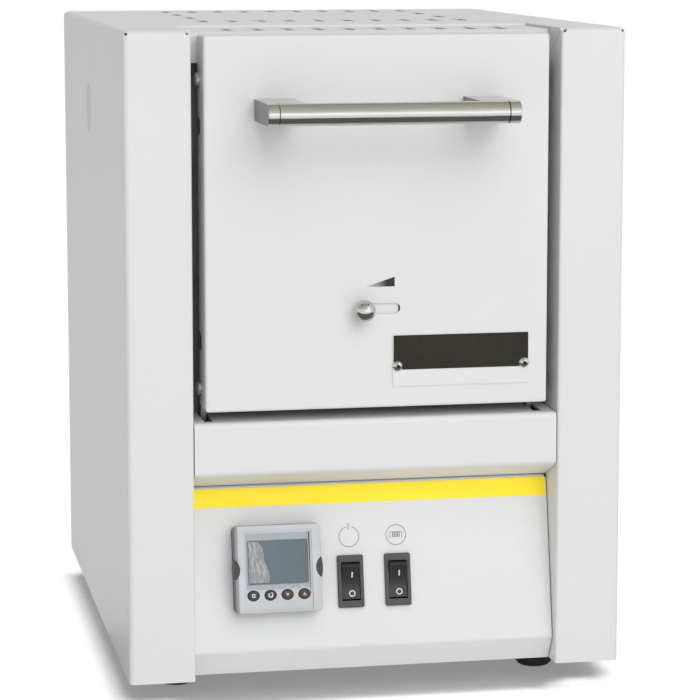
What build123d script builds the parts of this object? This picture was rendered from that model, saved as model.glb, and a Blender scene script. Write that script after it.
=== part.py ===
from build123d import *
from math import atan2, cos, degrees, hypot, radians, sin, sqrt
import os

# A bench preheating furnace with a flap door.
# The model is made in casing coordinates: X across, Y back from the front face of the posts, Z up from the
# underside of the casing. Each node is then moved so that the origin lies on the floor, under the middle
# of the whole furnace, handle included. The front faces -Y.

# How far a cutter reaches past what it cuts
overcut = 1.0

# Casing shell
casing_width = 275.0
casing_depth = 345.0
casing_height = 354.0
casing_sheet = 1.5
casing_edge_radius = 3.0
post_width = 36.2
post_return = 28.0
corner_relief_diameter = 1.6
corner_relief_inset = 1.8
cutout_edge_radius = 1.2
mitre_drop = 15.0
mitre_run = 25.0
mitre_groove = 0.5

# Vent slots and the cut-out in the casing top
top_cutout_depth = 77.0
vent_length = 30.0
vent_width = 5.6
vent_pitch = 17.0
vent_columns = 10
vent_rows = 4
vent_row_pitch = 58.0
vent_first_row = 138.0

# Front air strip
strip_gap = 2.0
strip_lip = 17.0
strip_overlap = 18.0
strip_side_gap = 0.3
strip_vent_inset = 19.0

# Round plug in the left flank
plug_diameter = 29.0
plug_from_front = 187.0
plug_below_top = 52.0
plug_lip = 2.0
plug_fit = 0.1

# Feet
foot_height = 16.0
foot_top_diameter = 23.0
foot_bottom_diameter = 20.4
foot_edge_radius = 3.5
foot_side_inset = 33.0
foot_front_inset = 60.0
foot_rear_inset = 50.0
foot_recess = 6.0
foot_recess_margin = 0.8

# Ledge under the door
ledge_top = 142.4
ledge_front_height = 28.6
ledge_recess = 1.0
ledge_depth = 60.0
ledge_slope_run = 22.0
ledge_slope_drop = 9.8
ledge_side_gap = 0.5
sheet_bend = 1.5
sharp_bend = 0.0

# Control panel
panel_sheet = 1.5
panel_top_set_back = 23.0
panel_nose_height = 14.0
panel_nose_set_back = 5.6
panel_bottom_set_back = 14.0
panel_top_gap = 0.2
panel_flange = 12.0
panel_corner_radius = 4.0
stripe_height = 10.3
stripe_top_gap = 2.0
stripe_end_gap = 0.4
stripe_thickness = 0.2

# Door shell
door_side_gap = 6.6
door_top_gap = 3.0
door_bottom_gap = 6.2
door_depth = 24.0
door_sheet = 1.2
door_edge_radius = 1.6
notch_height = 12.5
notch_depth = 9.0
notch_slant = 3.0
notch_heights = (36.4, 153.4)

# Door inner pan and insulation
pan_sheet = 1.0
pan_set_back = 13.0
pan_rim_gap = 0.5
pan_clearance = 0.3
pan_bottom_gap = 2.2
pan_lip_gap = 4.0
block_fit = 0.2
door_seal_gap = 0.3
plug_side_clearance = 5.0
plug_height_clearance = 3.0
plug_reach = 4.5
plug_chamfer = 2.0
air_hole_diameter = 9.0

# Screws
m4_diameter = 4.0
m4_head_diameter = 7.8
m4_head_height = 2.6
m3_diameter = 3.0
m3_head_diameter = 6.0
m3_head_height = 1.9
screw_fit = 0.05
head_rounding_share = 0.6
cross_width_share = 0.14
cross_length_share = 0.5
hexagon_share = 0.19
hexagon_depth_share = 1.3
side_screw_set_back = 17.5
side_screw_heights = (10.9, 178.4)
pan_screw_length = 9.0

# Hinge
hinge_set_back = 13.0
hinge_below_ledge = 13.8
arm_thickness = 3.0
arm_hub_radius = 6.0
arm_bar_height = 8.0
arm_leg_inner = 15.0
arm_leg_outer = 24.0
arm_foot_height = 2.4
arm_top_height = 17.4
arm_front_set_back = 6.0
arm_slot_width = 4.8
arm_slot_front = 8.0
arm_slot_rear = 50.0
arm_corner_radius = 2.0
pin_diameter = 6.0
pin_head_diameter = 9.0
pin_head_thickness = 1.0
bush_diameter = 8.0
bush_flange_diameter = 11.0
bush_flange_thickness = 1.2
running_fit = 0.04
side_play = 0.3
stop_pin_diameter = 4.0
stop_pin_rise = 8.4
hinge_bracket_thickness = 3.0
hinge_bracket_rear = 30.0
hinge_bracket_drop = 24.0
hinge_bracket_radius = 4.0

# Handle
handle_length = 135.0
handle_tube_diameter = 12.0
handle_tube_wall = 1.0
handle_reach = 47.0
handle_below_door_top = 39.5
handle_end_width = 20.8
handle_cap_width = 6.0
handle_joint_gap = 0.2
handle_screw_length = 9.0
handle_screw_spare = 1.0
handle_edge_chamfer = 0.3
handle_spigot_length = 4.0

# Air slider in the door
slider_slot_length = 24.4
slider_slot_height = 6.0
slider_slot_rise = 54.4
slider_stem_diameter = 5.0
slider_ball_diameter = 12.0
slider_ball_proud = 8.0
slider_plate_thickness = 1.0
slider_plate_height = 14.0
slider_plate_radius = 1.5
slider_plate_left = 12.8
slider_plate_right = 20.5
slider_clearance = 0.3
slider_guide_length = 76.0
slider_guide_grip = 0.8
slider_guide_height = 4.0

# Plate on the door
name_plate_width = 76.3
name_plate_height = 28.3
name_plate_thickness = 0.8
name_plate_edge_gap = 10.5
name_plate_rise = 11.6
name_plate_screw_inset = 2.7
name_plate_screw_rise = 11.0
name_plate_screw_length = 6.0

# Chamber and insulation
housing_sheet = 1.0
housing_gap = 8.6
floor_insulation = 34.0
hearth_thickness = 6.0
hearth_fit = 0.2
hearth_chamfer = 0.6
chamber_width = 110.0
chamber_height = 110.0
chamber_depth = 180.0
side_insulation = 41.0
roof_insulation = 38.0
rear_insulation = 45.0
chamber_plate_sheet = 1.5
chamber_plate_gap = 2.0
chamber_plate_side_gap = 0.8
mouth_margin = 1.0
rail_width = 30.0
rail_side_gap = 0.1
rail_front_set_back = 80.0
rail_rear_set_back = 225.0
rail_height = 20.0

# Heating
tube_diameter = 10.0
tube_wall = 1.2
tube_count = 4
tube_sunk = 2.2
tube_fit = 0.3
tube_front_gap = 8.0
tube_rear_reach = 12.0
coil_diameter = 6.6
coil_end_gap = 3.0
lead_diameter = 2.5
lead_fit = 0.3
terminal_width = 14.0
terminal_depth = 12.0
terminal_overhang = 10.0
lead_end = 4.0
exhaust_diameter = 20.0
exhaust_bore = 15.0
exhaust_below_roof = 17.0
exhaust_proud = 5.0
thermocouple_diameter = 6.0
thermocouple_reach = 25.0
thermocouple_side = 22.0
thermocouple_rise = 62.0
thermocouple_head_diameter = 16.0
thermocouple_head_length = 18.0
thermocouple_head_chamfer = 1.5

# Door contact
magnet_size = (12.0, 10.0, 8.0)
magnet_from_side = 24.0
reed_size = (26.0, 8.0, 12.0)

# Controller, placed on the slanted panel by its across and up-the-slope centre
controller_centre = (-55.0, 45.2)
controller_size = 48.0
controller_case_size = 44.6
controller_case_depth = 60.0
controller_case_radius = 1.0
controller_fit = 0.3
gasket_inset = 0.3
gasket_thickness = 4.5
bezel_thickness = 7.0
bezel_corner_radius = 2.5
bezel_edge_radius = 1.0
fascia_size = (38.0, 43.4)
fascia_drop = -1.0
fascia_recess = 0.5
fascia_corner_radius = 0.8
window_size = (33.0, 23.5)
window_rise = 3.6
window_thickness = 1.4
window_fit = 0.2
window_recess = 0.3
window_corner_radius = 0.6
ear_height = 11.0
ear_depth = 2.6
ear_proud = 0.7
ear_thickness = 7.6
button_size = (6.2, 5.3)
button_pitch = 9.4
button_count = 4
button_drop = 14.3
button_fit = 0.35
button_proud = 0.8
button_flange = 0.9
button_flange_thickness = 0.6
button_flange_gap = 0.2
button_wall = 1.9
button_edge_radius = 0.5
button_cavity_margin = 1.0
button_travel = 0.6
button_floor_gap = 0.3

# Rocker switches, placed like the controller
rocker_centres = ((-13.0, 36.0), (13.6, 36.0))
switch_bezel_size = (14.6, 29.0)
switch_bezel_thickness = 2.0
switch_bezel_radius = 1.2
switch_bezel_edge_radius = 0.6
switch_body_size = (12.6, 24.4)
switch_body_depth = 20.0
switch_cutout_fit = 0.2
switch_cavity_depth = 12.0
switch_cavity_radius = 0.5
rocker_width = 10.0
rocker_end_radius = 10.3
rocker_fit = 0.4
rocker_side_fit = 0.3
rocker_pivot_depth = 1.0
rocker_tip_height = 3.2
rocker_waist_height = 1.4
rocker_under = 5.0
rocker_tilt = 10.0
rocker_edge_radius = 0.5
rocker_pin_diameter = 2.0
rocker_pin_length = 0.8
rocker_pin_fit = 0.06
blade_size = (4.8, 0.8, 10.0)
blade_pitch = 7.0

# Rear panel and its fittings
rear_recess = 10.0
rear_sheet = 1.2
rear_edge_gap = 0.3
rear_tab = 15.0
rear_tab_heights = (30.0, 177.0, 324.0)
rear_screw_length = 10.0
rear_vent_count = 9
rear_vent_length = 26.0
rear_vent_width = 3.0
rear_vent_centre = 200.0
inlet_centre = (88.0, 45.0)
inlet_body = (27.2, 19.8, 26.0)
inlet_flange = (50.0, 22.5, 3.0)
inlet_flange_radius = 4.0
inlet_socket = (24.0, 16.6, 16.0)
inlet_socket_chamfer = 4.0
inlet_fit = 0.3
inlet_screw_pitch = 40.0
inlet_screw_length = 8.0
contact_size = (2.0, 14.0, 4.0)
contact_pitch = 14.0
contact_earth_rise = 4.0
contact_live_drop = 2.0
fuse_centre = (48.0, 45.0)
fuse_cap_diameter = 16.0
fuse_cap_height = 6.0
fuse_cap_radius = 1.2
fuse_slot = (11.2, 1.5, 1.6)
fuse_body_diameter = 12.0
fuse_body_length = 34.0

# Electrics on the base plate
base_flange = 15.0
base_front_gap = 0.3
rivet_nut_diameter = 8.0
rivet_nut_height = 5.0
relay_size = (45.0, 58.0, 28.0)
relay_corner = (62.0, 150.0)
relay_step_length = 11.6
relay_step_height = 16.8
relay_chamfer = 1.0
terminal_block_size = (60.0, 30.0, 30.0)
terminal_block_corner = (-70.0, 236.0)
terminal_ways = 6
terminal_row_inset = 7.5
terminal_hole_diameter = 5.5
terminal_hole_depth = 8.0
wire_diameter = 2.4
wire_bend = 12.0
heater_wire_ways = (0, 3)
heater_wire_heights = (62.0, 100.0)
heater_wire_step = 6.0
heater_wire_set_back = 30.0
heater_wire_approach = 50.0
relay_wire_way = 5
relay_wire_height = 56.0

# Values worked out from the ones above
m4_screw = (m4_diameter, m4_head_diameter, m4_head_height)
m3_screw = (m3_diameter, m3_head_diameter, m3_head_height)
half_width = casing_width / 2
opening_half = half_width - post_width
opening_width = 2 * opening_half
front_offset = (handle_reach - casing_depth) / 2
door_half = opening_half - door_side_gap
door_top = casing_height - door_top_gap
door_bottom = ledge_top + door_bottom_gap
flange_inner = door_half - door_sheet
arm_outer = flange_inner
arm_inner = arm_outer - arm_thickness
arm_middle = (arm_outer + arm_inner) / 2
hinge_height = ledge_top - hinge_below_ledge
strip_front = door_depth + strip_gap
strip_top = casing_height - casing_sheet
strip_lip_bottom = strip_top - strip_lip
pan_half = arm_inner - pan_clearance
pan_bottom = door_bottom + door_sheet + pan_bottom_gap
pan_top = strip_lip_bottom - pan_lip_gap
pan_rear = door_depth - pan_rim_gap
pan_screw_set_back = door_depth - notch_depth / 2
chamber_plate_front = hinge_set_back + arm_leg_outer + chamber_plate_gap
chamber_front = chamber_plate_front + chamber_plate_sheet
chamber_rear = chamber_front + chamber_depth
chamber_half = chamber_width / 2
housing_bottom = ledge_top + housing_gap
insulation_bottom = housing_bottom + housing_sheet
hearth_bottom = insulation_bottom + floor_insulation
chamber_floor = hearth_bottom + hearth_thickness
chamber_roof = chamber_floor + chamber_height
exhaust_height = chamber_roof - exhaust_below_roof
thermocouple_height = chamber_floor + thermocouple_rise
insulation_top = chamber_roof + roof_insulation
insulation_half = chamber_half + side_insulation
insulation_rear_face = chamber_rear + rear_insulation
housing_rear = insulation_rear_face + housing_sheet
rear_face = casing_depth - rear_recess
rear_inner = rear_face - rear_sheet
slider_height = door_bottom + slider_slot_rise
slider_travel = slider_slot_length - slider_slot_height
slider_rest = -slider_travel / 2
slider_rear = door_sheet + slider_clearance + slider_plate_thickness
handle_height = door_top - handle_below_door_top
handle_axis = handle_tube_diameter / 2 - handle_reach
handle_end_centre = (handle_length - handle_end_width) / 2
handle_tube_bore = handle_tube_diameter - 2 * handle_tube_wall
panel_top = ledge_top - ledge_front_height - ledge_slope_drop - panel_top_gap
panel_run = panel_top_set_back - panel_nose_set_back
panel_rise = panel_top - panel_nose_height
panel_length = hypot(panel_run, panel_rise)
panel_lean = atan2(panel_run, panel_rise)
panel_half = opening_half - ledge_side_gap
fascia_height = gasket_thickness + bezel_thickness - fascia_recess
terminal_hole_floor = casing_sheet + terminal_block_size[2] - terminal_hole_depth
panel_face = Plane(
    origin=(0, panel_nose_set_back, panel_nose_height),
    x_dir=(1, 0, 0),
    z_dir=(0, -cos(panel_lean), sin(panel_lean)),
)


def block(x_range, y_range, z_range):
    """A box between two values along each axis."""
    size = [high - low for low, high in (x_range, y_range, z_range)]
    corner = [low for low, high in (x_range, y_range, z_range)]
    return Pos(*corner) * Box(*size, align=Align.MIN)


def rod(start, end, diameter):
    """A round bar between two points."""
    start, end = Vector(*start), Vector(*end)
    plane = Plane(origin=start, z_dir=end - start)
    return plane.location * upright_disc(diameter, (end - start).length)


def upright_disc(diameter, height):
    """A round bar that stands on the origin."""
    return Cylinder(diameter / 2, height, align=(Align.CENTER, Align.CENTER, Align.MIN))


def pipe(start, end, diameter, bore):
    """A round bar between two points with a round bore through it."""
    start, end = Vector(*start), Vector(*end)
    beyond = (end - start).normalized() * overcut
    return rod(start, end, diameter) - rod(start - beyond, end + beyond, bore)


def both_sides(solid):
    """A solid and its mirror image on the other side of the middle plane."""
    return [solid, mirror(solid, about=Plane.YZ)]


def moved_points(points, distance):
    """The corners of a bent line after it is moved to its left by a distance."""
    normals = []
    for (x0, y0), (x1, y1) in zip(points, points[1:]):
        length = hypot(x1 - x0, y1 - y0)
        normals.append(((y0 - y1) / length, (x1 - x0) / length))
    before = [normals[0]] + normals
    after = normals + [normals[-1]]
    result = []
    for (x, y), (ax, ay), (bx, by) in zip(points, before, after):
        scale = distance / (1 + ax * bx + ay * by)
        result.append((x + (ax + bx) * scale, y + (ay + by) * scale))
    return result


def bent_line(points, radii):
    """A line through points, with its corners rounded."""
    if not radii:
        return Line(points[0], points[1])
    return FilletPolyline(*points, radius=radii)


def folded_sheet(points, thickness, plane, width, centred=True, bend=sheet_bend):
    """A folded sheet: one side runs through the points, the other lies to their left, or to their right
    where the thickness is negative. Each fold has the bend radius on its inner side."""
    far_points = moved_points(points, thickness)
    near_radii = []
    far_radii = []
    for (ax, ay), (bx, by), (cx, cy) in zip(points, points[1:], points[2:]):
        turns_left = (bx - ax) * (cy - by) - (by - ay) * (cx - bx) > 0
        near_is_outer = turns_left == (thickness > 0)
        near_radii.append(bend + abs(thickness) if near_is_outer else bend)
        far_radii.append(bend if near_is_outer else bend + abs(thickness))
    edges = bent_line(points, near_radii).edges()
    edges += bent_line(far_points, far_radii).edges()
    edges += Line(points[0], far_points[0]).edges()
    edges += Line(points[-1], far_points[-1]).edges()
    face = plane * make_face(edges)
    return extrude(face, amount=width / 2 if centred else width, both=centred)


def pan_screw(start, direction, length, diameter, head_diameter, head_height):
    """A screw whose head stands on the point, with its shank along the direction."""
    plane = Plane(origin=start, z_dir=Vector(*direction))
    shank = upright_disc(diameter, length)
    head = Pos(0, 0, -head_height) * upright_disc(head_diameter, head_height)
    head = fillet(head.edges().group_by(Axis.Z)[0], head_height * head_rounding_share)
    slot = Box(head_diameter * cross_width_share, head_diameter * cross_length_share, head_height)
    slot = Pos(0, 0, -head_height) * slot
    return plane.location * (shank + head - slot - Rot(0, 0, 90) * slot)


def dome_screw(start, direction, length, diameter, head_diameter, head_height):
    """A dome-head screw with a hexagon socket, placed like the pan-head one."""
    plane = Plane(origin=start, z_dir=Vector(*direction))
    shank = upright_disc(diameter, length)
    dome_radius = ((head_diameter / 2) ** 2 + head_height**2) / (2 * head_height)
    dome = Pos(0, 0, dome_radius - head_height) * Sphere(dome_radius)
    dome &= Pos(0, 0, -head_height) * upright_disc(head_diameter, head_height)
    hexagon = RegularPolygon(head_diameter * hexagon_share, 6)
    socket = Pos(0, 0, -head_height) * extrude(hexagon, head_height * hexagon_depth_share, both=True)
    return plane.location * (shank + dome - socket)


def on_panel(solid):
    """Puts a solid made in the panel's own axes (across, up the slope, outwards) on the slanted panel."""
    return panel_face.location * solid


def slot_cutter(length, width, depth):
    """A round-ended cutter, long in its own X, standing along Z."""
    return extrude(SlotOverall(length, width), depth / 2, both=True)


def make_casing_shell():
    outer = block((-half_width, half_width), (0, casing_depth), (0, casing_height))
    front_uprights = outer.edges().filter_by(Axis.Z).group_by(Axis.Y)[0]
    top_edges = outer.edges().group_by(Axis.Z)[-1]
    long_edges = top_edges.filter_by(Axis.Y)
    front_edge = top_edges.filter_by(Axis.X).sort_by(Axis.Y)[0]
    outer = fillet([*front_uprights, *long_edges, front_edge], casing_edge_radius)
    inside = block(
        (casing_sheet - half_width, half_width - casing_sheet),
        (casing_sheet, casing_depth + casing_sheet),
        (-casing_sheet, casing_height - casing_sheet),
    )
    shell = outer - inside
    window = block(
        (-opening_half, opening_half),
        (-casing_sheet, top_cutout_depth),
        (-casing_sheet, casing_height + casing_sheet),
    )
    shell -= window
    post_flange = folded_sheet(
        [(half_width - casing_edge_radius, 0), (opening_half, 0), (opening_half, post_return)],
        -casing_sheet,
        Plane.XY,
        casing_height - casing_sheet,
        centred=False,
        bend=sharp_bend,
    )
    corner = block(
        (opening_half, opening_half + casing_sheet + sheet_bend),
        (-casing_sheet, casing_sheet + sheet_bend),
        (-casing_sheet, casing_height + casing_sheet),
    )
    for flange, cutter in zip(both_sides(post_flange), both_sides(corner)):
        shell = shell - cutter + flange
    across = shell.edges().filter_by(Axis.X)
    near_cut = (top_cutout_depth - casing_sheet / 2, top_cutout_depth + casing_sheet / 2)
    cut_edges = across.filter_by_position(Axis.Y, *near_cut)
    shell = fillet(cut_edges.sort_by(Axis.Z)[-1], cutout_edge_radius)
    relief_height = casing_height - corner_relief_inset
    for x in (opening_half + corner_relief_inset, half_width - corner_relief_inset):
        start = (x, -overcut, relief_height)
        end = (x, casing_sheet + overcut, relief_height)
        for hole in both_sides(rod(start, end, corner_relief_diameter)):
            shell -= hole
    seam_angle = degrees(atan2(mitre_drop, mitre_run))
    seam = Box(mitre_groove * 2, hypot(mitre_drop, mitre_run), mitre_groove)
    seam_place = Pos(opening_half, mitre_run / 2, casing_height - mitre_drop / 2) * Rot(-seam_angle, 0, 0)
    for groove in both_sides(seam_place * seam):
        shell -= groove
    for column in range(vent_columns):
        for row in range(vent_rows):
            if 0 < column < vent_columns - 1 and 0 < row < vent_rows - 1:
                continue
            x = (column - (vent_columns - 1) / 2) * vent_pitch
            y = vent_first_row + row * vent_row_pitch
            place = Pos(x, y, casing_height) * Rot(0, 0, 90)
            shell -= place * slot_cutter(vent_length, vent_width, 4 * casing_sheet)
    plug_hole = rod(
        (-half_width - overcut, plug_from_front, casing_height - plug_below_top),
        (-half_width + casing_sheet + overcut, plug_from_front, casing_height - plug_below_top),
        plug_diameter,
    )
    shell -= plug_hole
    for height in rear_tab_heights:
        tab = block(
            (half_width - rear_tab, half_width - casing_sheet / 2),
            (rear_inner - casing_sheet, rear_inner),
            (height - rear_tab / 2, height + rear_tab / 2),
        )
        hole = rear_screw_hole(height)
        for one_tab, one_hole in zip(both_sides(tab), both_sides(hole)):
            shell = shell + one_tab - one_hole
    return shell


def rear_screw_place(height):
    return (half_width - rear_tab / 2 - casing_sheet, rear_face, height)


def rear_screw_hole(height):
    x, y, z = rear_screw_place(height)
    return rod((x, y + overcut, z), (x, y - rear_screw_length, z), m4_diameter + 2 * screw_fit)


def make_side_plug():
    centre = (-half_width, plug_from_front, casing_height - plug_below_top)
    plane = Plane(origin=centre, z_dir=(1, 0, 0))
    disc = upright_disc(plug_diameter - 2 * plug_fit, casing_sheet)
    lip = Pos(0, 0, casing_sheet) * upright_disc(plug_diameter + 2 * plug_lip, casing_sheet)
    return plane.location * (disc + lip)


def make_top_air_strip():
    rear = top_cutout_depth + strip_overlap
    strip = folded_sheet(
        [(rear, strip_top), (strip_front, strip_top), (strip_front, strip_lip_bottom)],
        casing_sheet,
        Plane.YZ,
        opening_width - 2 * strip_side_gap,
    )
    for column in range(vent_columns):
        x = (column - (vent_columns - 1) / 2) * vent_pitch
        place = Pos(x, strip_front + strip_vent_inset, strip_top) * Rot(0, 0, 90)
        strip -= place * slot_cutter(vent_length, vent_width, 4 * casing_sheet)
    return strip


def make_rear_panel():
    panel = block(
        (casing_sheet + rear_edge_gap - half_width, half_width - casing_sheet - rear_edge_gap),
        (rear_inner, rear_face),
        (rear_edge_gap, casing_height - casing_sheet - rear_edge_gap),
    )
    for height in rear_tab_heights:
        for hole in both_sides(rear_screw_hole(height)):
            panel -= hole
    inlet_x, inlet_z = inlet_centre
    body_x, body_z, body_y = inlet_body
    inlet_cutter = Box(body_x + 2 * inlet_fit, 8 * rear_sheet, body_z + 2 * inlet_fit)
    panel -= Pos(inlet_x, rear_face, inlet_z) * inlet_cutter
    for x in inlet_screw_places():
        panel -= rear_panel_hole(x, inlet_z, m3_diameter + 2 * screw_fit)
    panel -= rear_panel_hole(*fuse_centre, fuse_body_diameter + 2 * inlet_fit)
    panel -= rear_panel_hole(0, exhaust_height, exhaust_diameter + 2 * inlet_fit)
    for side in (-1, 1):
        for column in range(rear_vent_count):
            x = side * (vent_pitch / 2 * column + vent_pitch * 2)
            place = Plane(origin=(x, rear_face, rear_vent_centre), x_dir=(0, 0, 1), z_dir=(0, 1, 0))
            panel -= place.location * slot_cutter(rear_vent_length, rear_vent_width, 8 * rear_sheet)
    return panel


def rear_panel_hole(x, z, diameter):
    return rod((x, rear_face + overcut, z), (x, rear_inner - overcut, z), diameter)


def inlet_screw_places():
    inlet_x = inlet_centre[0]
    return (inlet_x - inlet_screw_pitch / 2, inlet_x + inlet_screw_pitch / 2)


def foot_places():
    x = half_width - foot_side_inset
    return [(sx * x, y) for sx in (-1, 1) for y in (foot_front_inset, casing_depth - foot_rear_inset)]


def make_base_plate():
    half = half_width - casing_sheet - rail_side_gap
    front = panel_bottom_set_back + panel_sheet + base_front_gap
    length = rear_inner - base_front_gap - front
    plate = folded_sheet(
        [(-half, base_flange), (-half, 0), (half, 0), (half, base_flange)],
        casing_sheet,
        Plane.XZ,
        length,
        centred=False,
    )
    plate = Pos(0, front + length - plate.bounding_box().max.Y, 0) * plate
    post_room = block(
        (panel_half, half_width), (0, post_return + base_front_gap), (-casing_sheet, 2 * base_flange)
    )
    for cutter in both_sides(post_room):
        plate -= cutter
    for x, y in foot_places():
        plate += Pos(x, y, casing_sheet) * upright_disc(rivet_nut_diameter, rivet_nut_height)
        nut_top = casing_sheet + rivet_nut_height
        plate -= rod((x, y, -overcut), (x, y, nut_top + overcut), m4_diameter + 2 * screw_fit)
    return plate


def make_rubber_feet():
    top, bottom = foot_top_diameter / 2, foot_bottom_diameter / 2
    outline = make_face(
        FilletPolyline(
            (0, 0), (top, 0), (bottom, -foot_height), (0, -foot_height),
            radius=[0, 0, foot_edge_radius, 0], close=True,
        ).edges()
    )
    foot = revolve(Plane.XZ * outline, Axis.Z)
    recess_diameter = m4_head_diameter + 2 * foot_recess_margin
    foot -= Pos(0, 0, -foot_height) * upright_disc(recess_diameter, foot_recess)
    foot -= rod((0, 0, overcut), (0, 0, -foot_height), m4_diameter + 2 * screw_fit)
    return [Pos(x, y, 0) * foot for x, y in foot_places()]


def make_foot_screws():
    length = foot_height - foot_recess + casing_sheet + rivet_nut_height
    seat = foot_recess - foot_height
    return [pan_screw((x, y, seat), (0, 0, 1), length, *m4_screw) for x, y in foot_places()]


def make_rear_screws():
    screws = []
    for height in rear_tab_heights:
        place = rear_screw_place(height)
        screws += both_sides(pan_screw(place, (0, -1, 0), rear_screw_length, *m4_screw))
    return screws


def make_ledge():
    ledge_bottom = ledge_top - ledge_front_height
    ledge = folded_sheet(
        [
            (ledge_depth, ledge_top),
            (ledge_recess, ledge_top),
            (ledge_recess, ledge_bottom),
            (ledge_recess + ledge_slope_run, ledge_bottom - ledge_slope_drop),
        ],
        casing_sheet,
        Plane.YZ,
        2 * panel_half,
    )
    slot = block(
        (arm_middle - arm_slot_width / 2, arm_middle + arm_slot_width / 2),
        (arm_slot_front, arm_slot_rear),
        (ledge_top - 2 * casing_sheet, ledge_top + casing_sheet),
    )
    for cutter in both_sides(slot):
        ledge -= cutter
    return ledge


def make_control_panel():
    panel = folded_sheet(
        [
            (panel_top_set_back + panel_flange, panel_top),
            (panel_top_set_back, panel_top),
            (panel_nose_set_back, panel_nose_height),
            (panel_bottom_set_back, 0),
        ],
        panel_sheet,
        Plane.YZ,
        2 * panel_half,
    )
    corner = block(
        (panel_half - panel_corner_radius, panel_half + overcut),
        (panel_length - panel_corner_radius, panel_length + overcut),
        (-panel_sheet * 2, panel_sheet),
    ) - Pos(panel_half - panel_corner_radius, panel_length - panel_corner_radius, 0) * Cylinder(
        panel_corner_radius, 8 * panel_sheet
    )
    for cutter in both_sides(corner):
        panel -= on_panel(cutter)
    across, up = controller_centre
    hole = controller_case_size + 2 * controller_fit
    panel -= on_panel(Pos(across, up, 0) * Box(hole, hole, 6 * panel_sheet))
    for across, up in rocker_centres:
        body_u, body_v = switch_body_size
        cutter = Box(body_u + 2 * switch_cutout_fit, body_v + 2 * switch_cutout_fit, 6 * panel_sheet)
        panel -= on_panel(Pos(across, up, 0) * cutter)
    return panel


def make_panel_stripe():
    width = 2 * (panel_half - stripe_end_gap)
    top = panel_length - stripe_top_gap
    stripe = extrude(Rectangle(width, stripe_height, align=(Align.CENTER, Align.MAX)), stripe_thickness)
    corners = stripe.edges().filter_by(Axis.Z).group_by(Axis.Y)[-1]
    stripe = fillet(corners, panel_corner_radius - stripe_top_gap)
    return on_panel(Pos(0, top, 0) * stripe)


def make_inner_housing():
    half = insulation_half + housing_sheet
    top = insulation_top + housing_sheet
    shell = block((-half, half), (chamber_front, housing_rear), (housing_bottom, top))
    shell -= block(
        (-insulation_half, insulation_half),
        (chamber_front - overcut, insulation_rear_face),
        (insulation_bottom, insulation_top),
    )
    for cutter in lead_holes(housing_rear + overcut) + [exhaust_hole(), thermocouple_hole()]:
        shell -= cutter
    return shell


def make_housing_rails():
    half = half_width - casing_sheet - rail_side_gap
    rails = []
    for front in (rail_front_set_back, rail_rear_set_back):
        rear = front + rail_width
        bottom = housing_bottom - rail_height
        rails.append(
            folded_sheet(
                [(front, bottom), (front, housing_bottom), (rear, housing_bottom), (rear, bottom)],
                -casing_sheet,
                Plane.YZ,
                2 * half,
                bend=sharp_bend,
            )
        )
    return rails


def make_chamber_front_plate():
    half = opening_half - chamber_plate_side_gap
    plate = block(
        (-half, half), (chamber_plate_front, chamber_front), (ledge_top, strip_top - casing_sheet)
    )
    mouth_half = chamber_half + mouth_margin
    plate -= block(
        (-mouth_half, mouth_half),
        (0, chamber_front + overcut),
        (chamber_floor - mouth_margin, chamber_roof + mouth_margin),
    )
    return plate


def tube_places():
    """Across and up places of the quartz tubes' axes."""
    pitch = chamber_height / tube_count
    heights = [chamber_floor + (i + 0.5) * pitch for i in range(tube_count)]
    return [(side * (chamber_half + tube_sunk), z) for side in (-1, 1) for z in heights]


def tube_ends():
    return chamber_front + tube_front_gap, chamber_rear + tube_rear_reach


def tube_grooves():
    start, end = chamber_front - overcut, tube_ends()[1]
    return [rod((x, start, z), (x, end, z), tube_diameter + 2 * tube_fit) for x, z in tube_places()]


def lead_holes(end):
    start = tube_ends()[1] - overcut
    return [rod((x, start, z), (x, end, z), lead_diameter + 2 * lead_fit) for x, z in tube_places()]


def exhaust_hole():
    start = (0, chamber_rear - overcut, exhaust_height)
    end = (0, housing_rear + overcut, exhaust_height)
    return rod(start, end, exhaust_diameter + 2 * lead_fit)


def thermocouple_hole():
    x, z = thermocouple_side, thermocouple_height
    start = (x, chamber_rear - overcut, z)
    end = (x, housing_rear + overcut, z)
    return rod(start, end, thermocouple_diameter + 2 * lead_fit)


def make_insulation_side(side):
    inner, outer = sorted((side * chamber_half, side * insulation_half))
    wall = block((inner, outer), (chamber_front, chamber_rear), (hearth_bottom, chamber_roof))
    for groove in tube_grooves():
        wall -= groove
    return wall


def make_insulation_rear():
    wall = block(
        (-insulation_half, insulation_half),
        (chamber_rear, insulation_rear_face),
        (insulation_bottom, insulation_top),
    )
    for cutter in tube_grooves() + lead_holes(housing_rear) + [exhaust_hole(), thermocouple_hole()]:
        wall -= cutter
    return wall


def make_flat_insulation(low, high):
    return block((-insulation_half, insulation_half), (chamber_front, chamber_rear), (low, high))


def make_hearth_plate():
    half = chamber_half - hearth_fit
    plate = block(
        (-half, half), (chamber_front + hearth_fit, chamber_rear - hearth_fit), (hearth_bottom, chamber_floor)
    )
    return chamfer(plate.edges().group_by(Axis.Z)[-1], hearth_chamfer)


def make_quartz_tubes():
    start, end = tube_ends()
    bore = tube_diameter - 2 * tube_wall
    return [pipe((x, start, z), (x, end, z), tube_diameter, bore) for x, z in tube_places()]


def make_heating_coils():
    start, end = tube_ends()
    lead_tip = housing_rear + terminal_depth + lead_end
    coils = []
    for x, z in tube_places():
        coil = rod((x, start + coil_end_gap, z), (x, end - coil_end_gap, z), coil_diameter)
        coils.append(coil + rod((x, end - coil_end_gap - overcut, z), (x, lead_tip, z), lead_diameter))
    return coils


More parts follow.
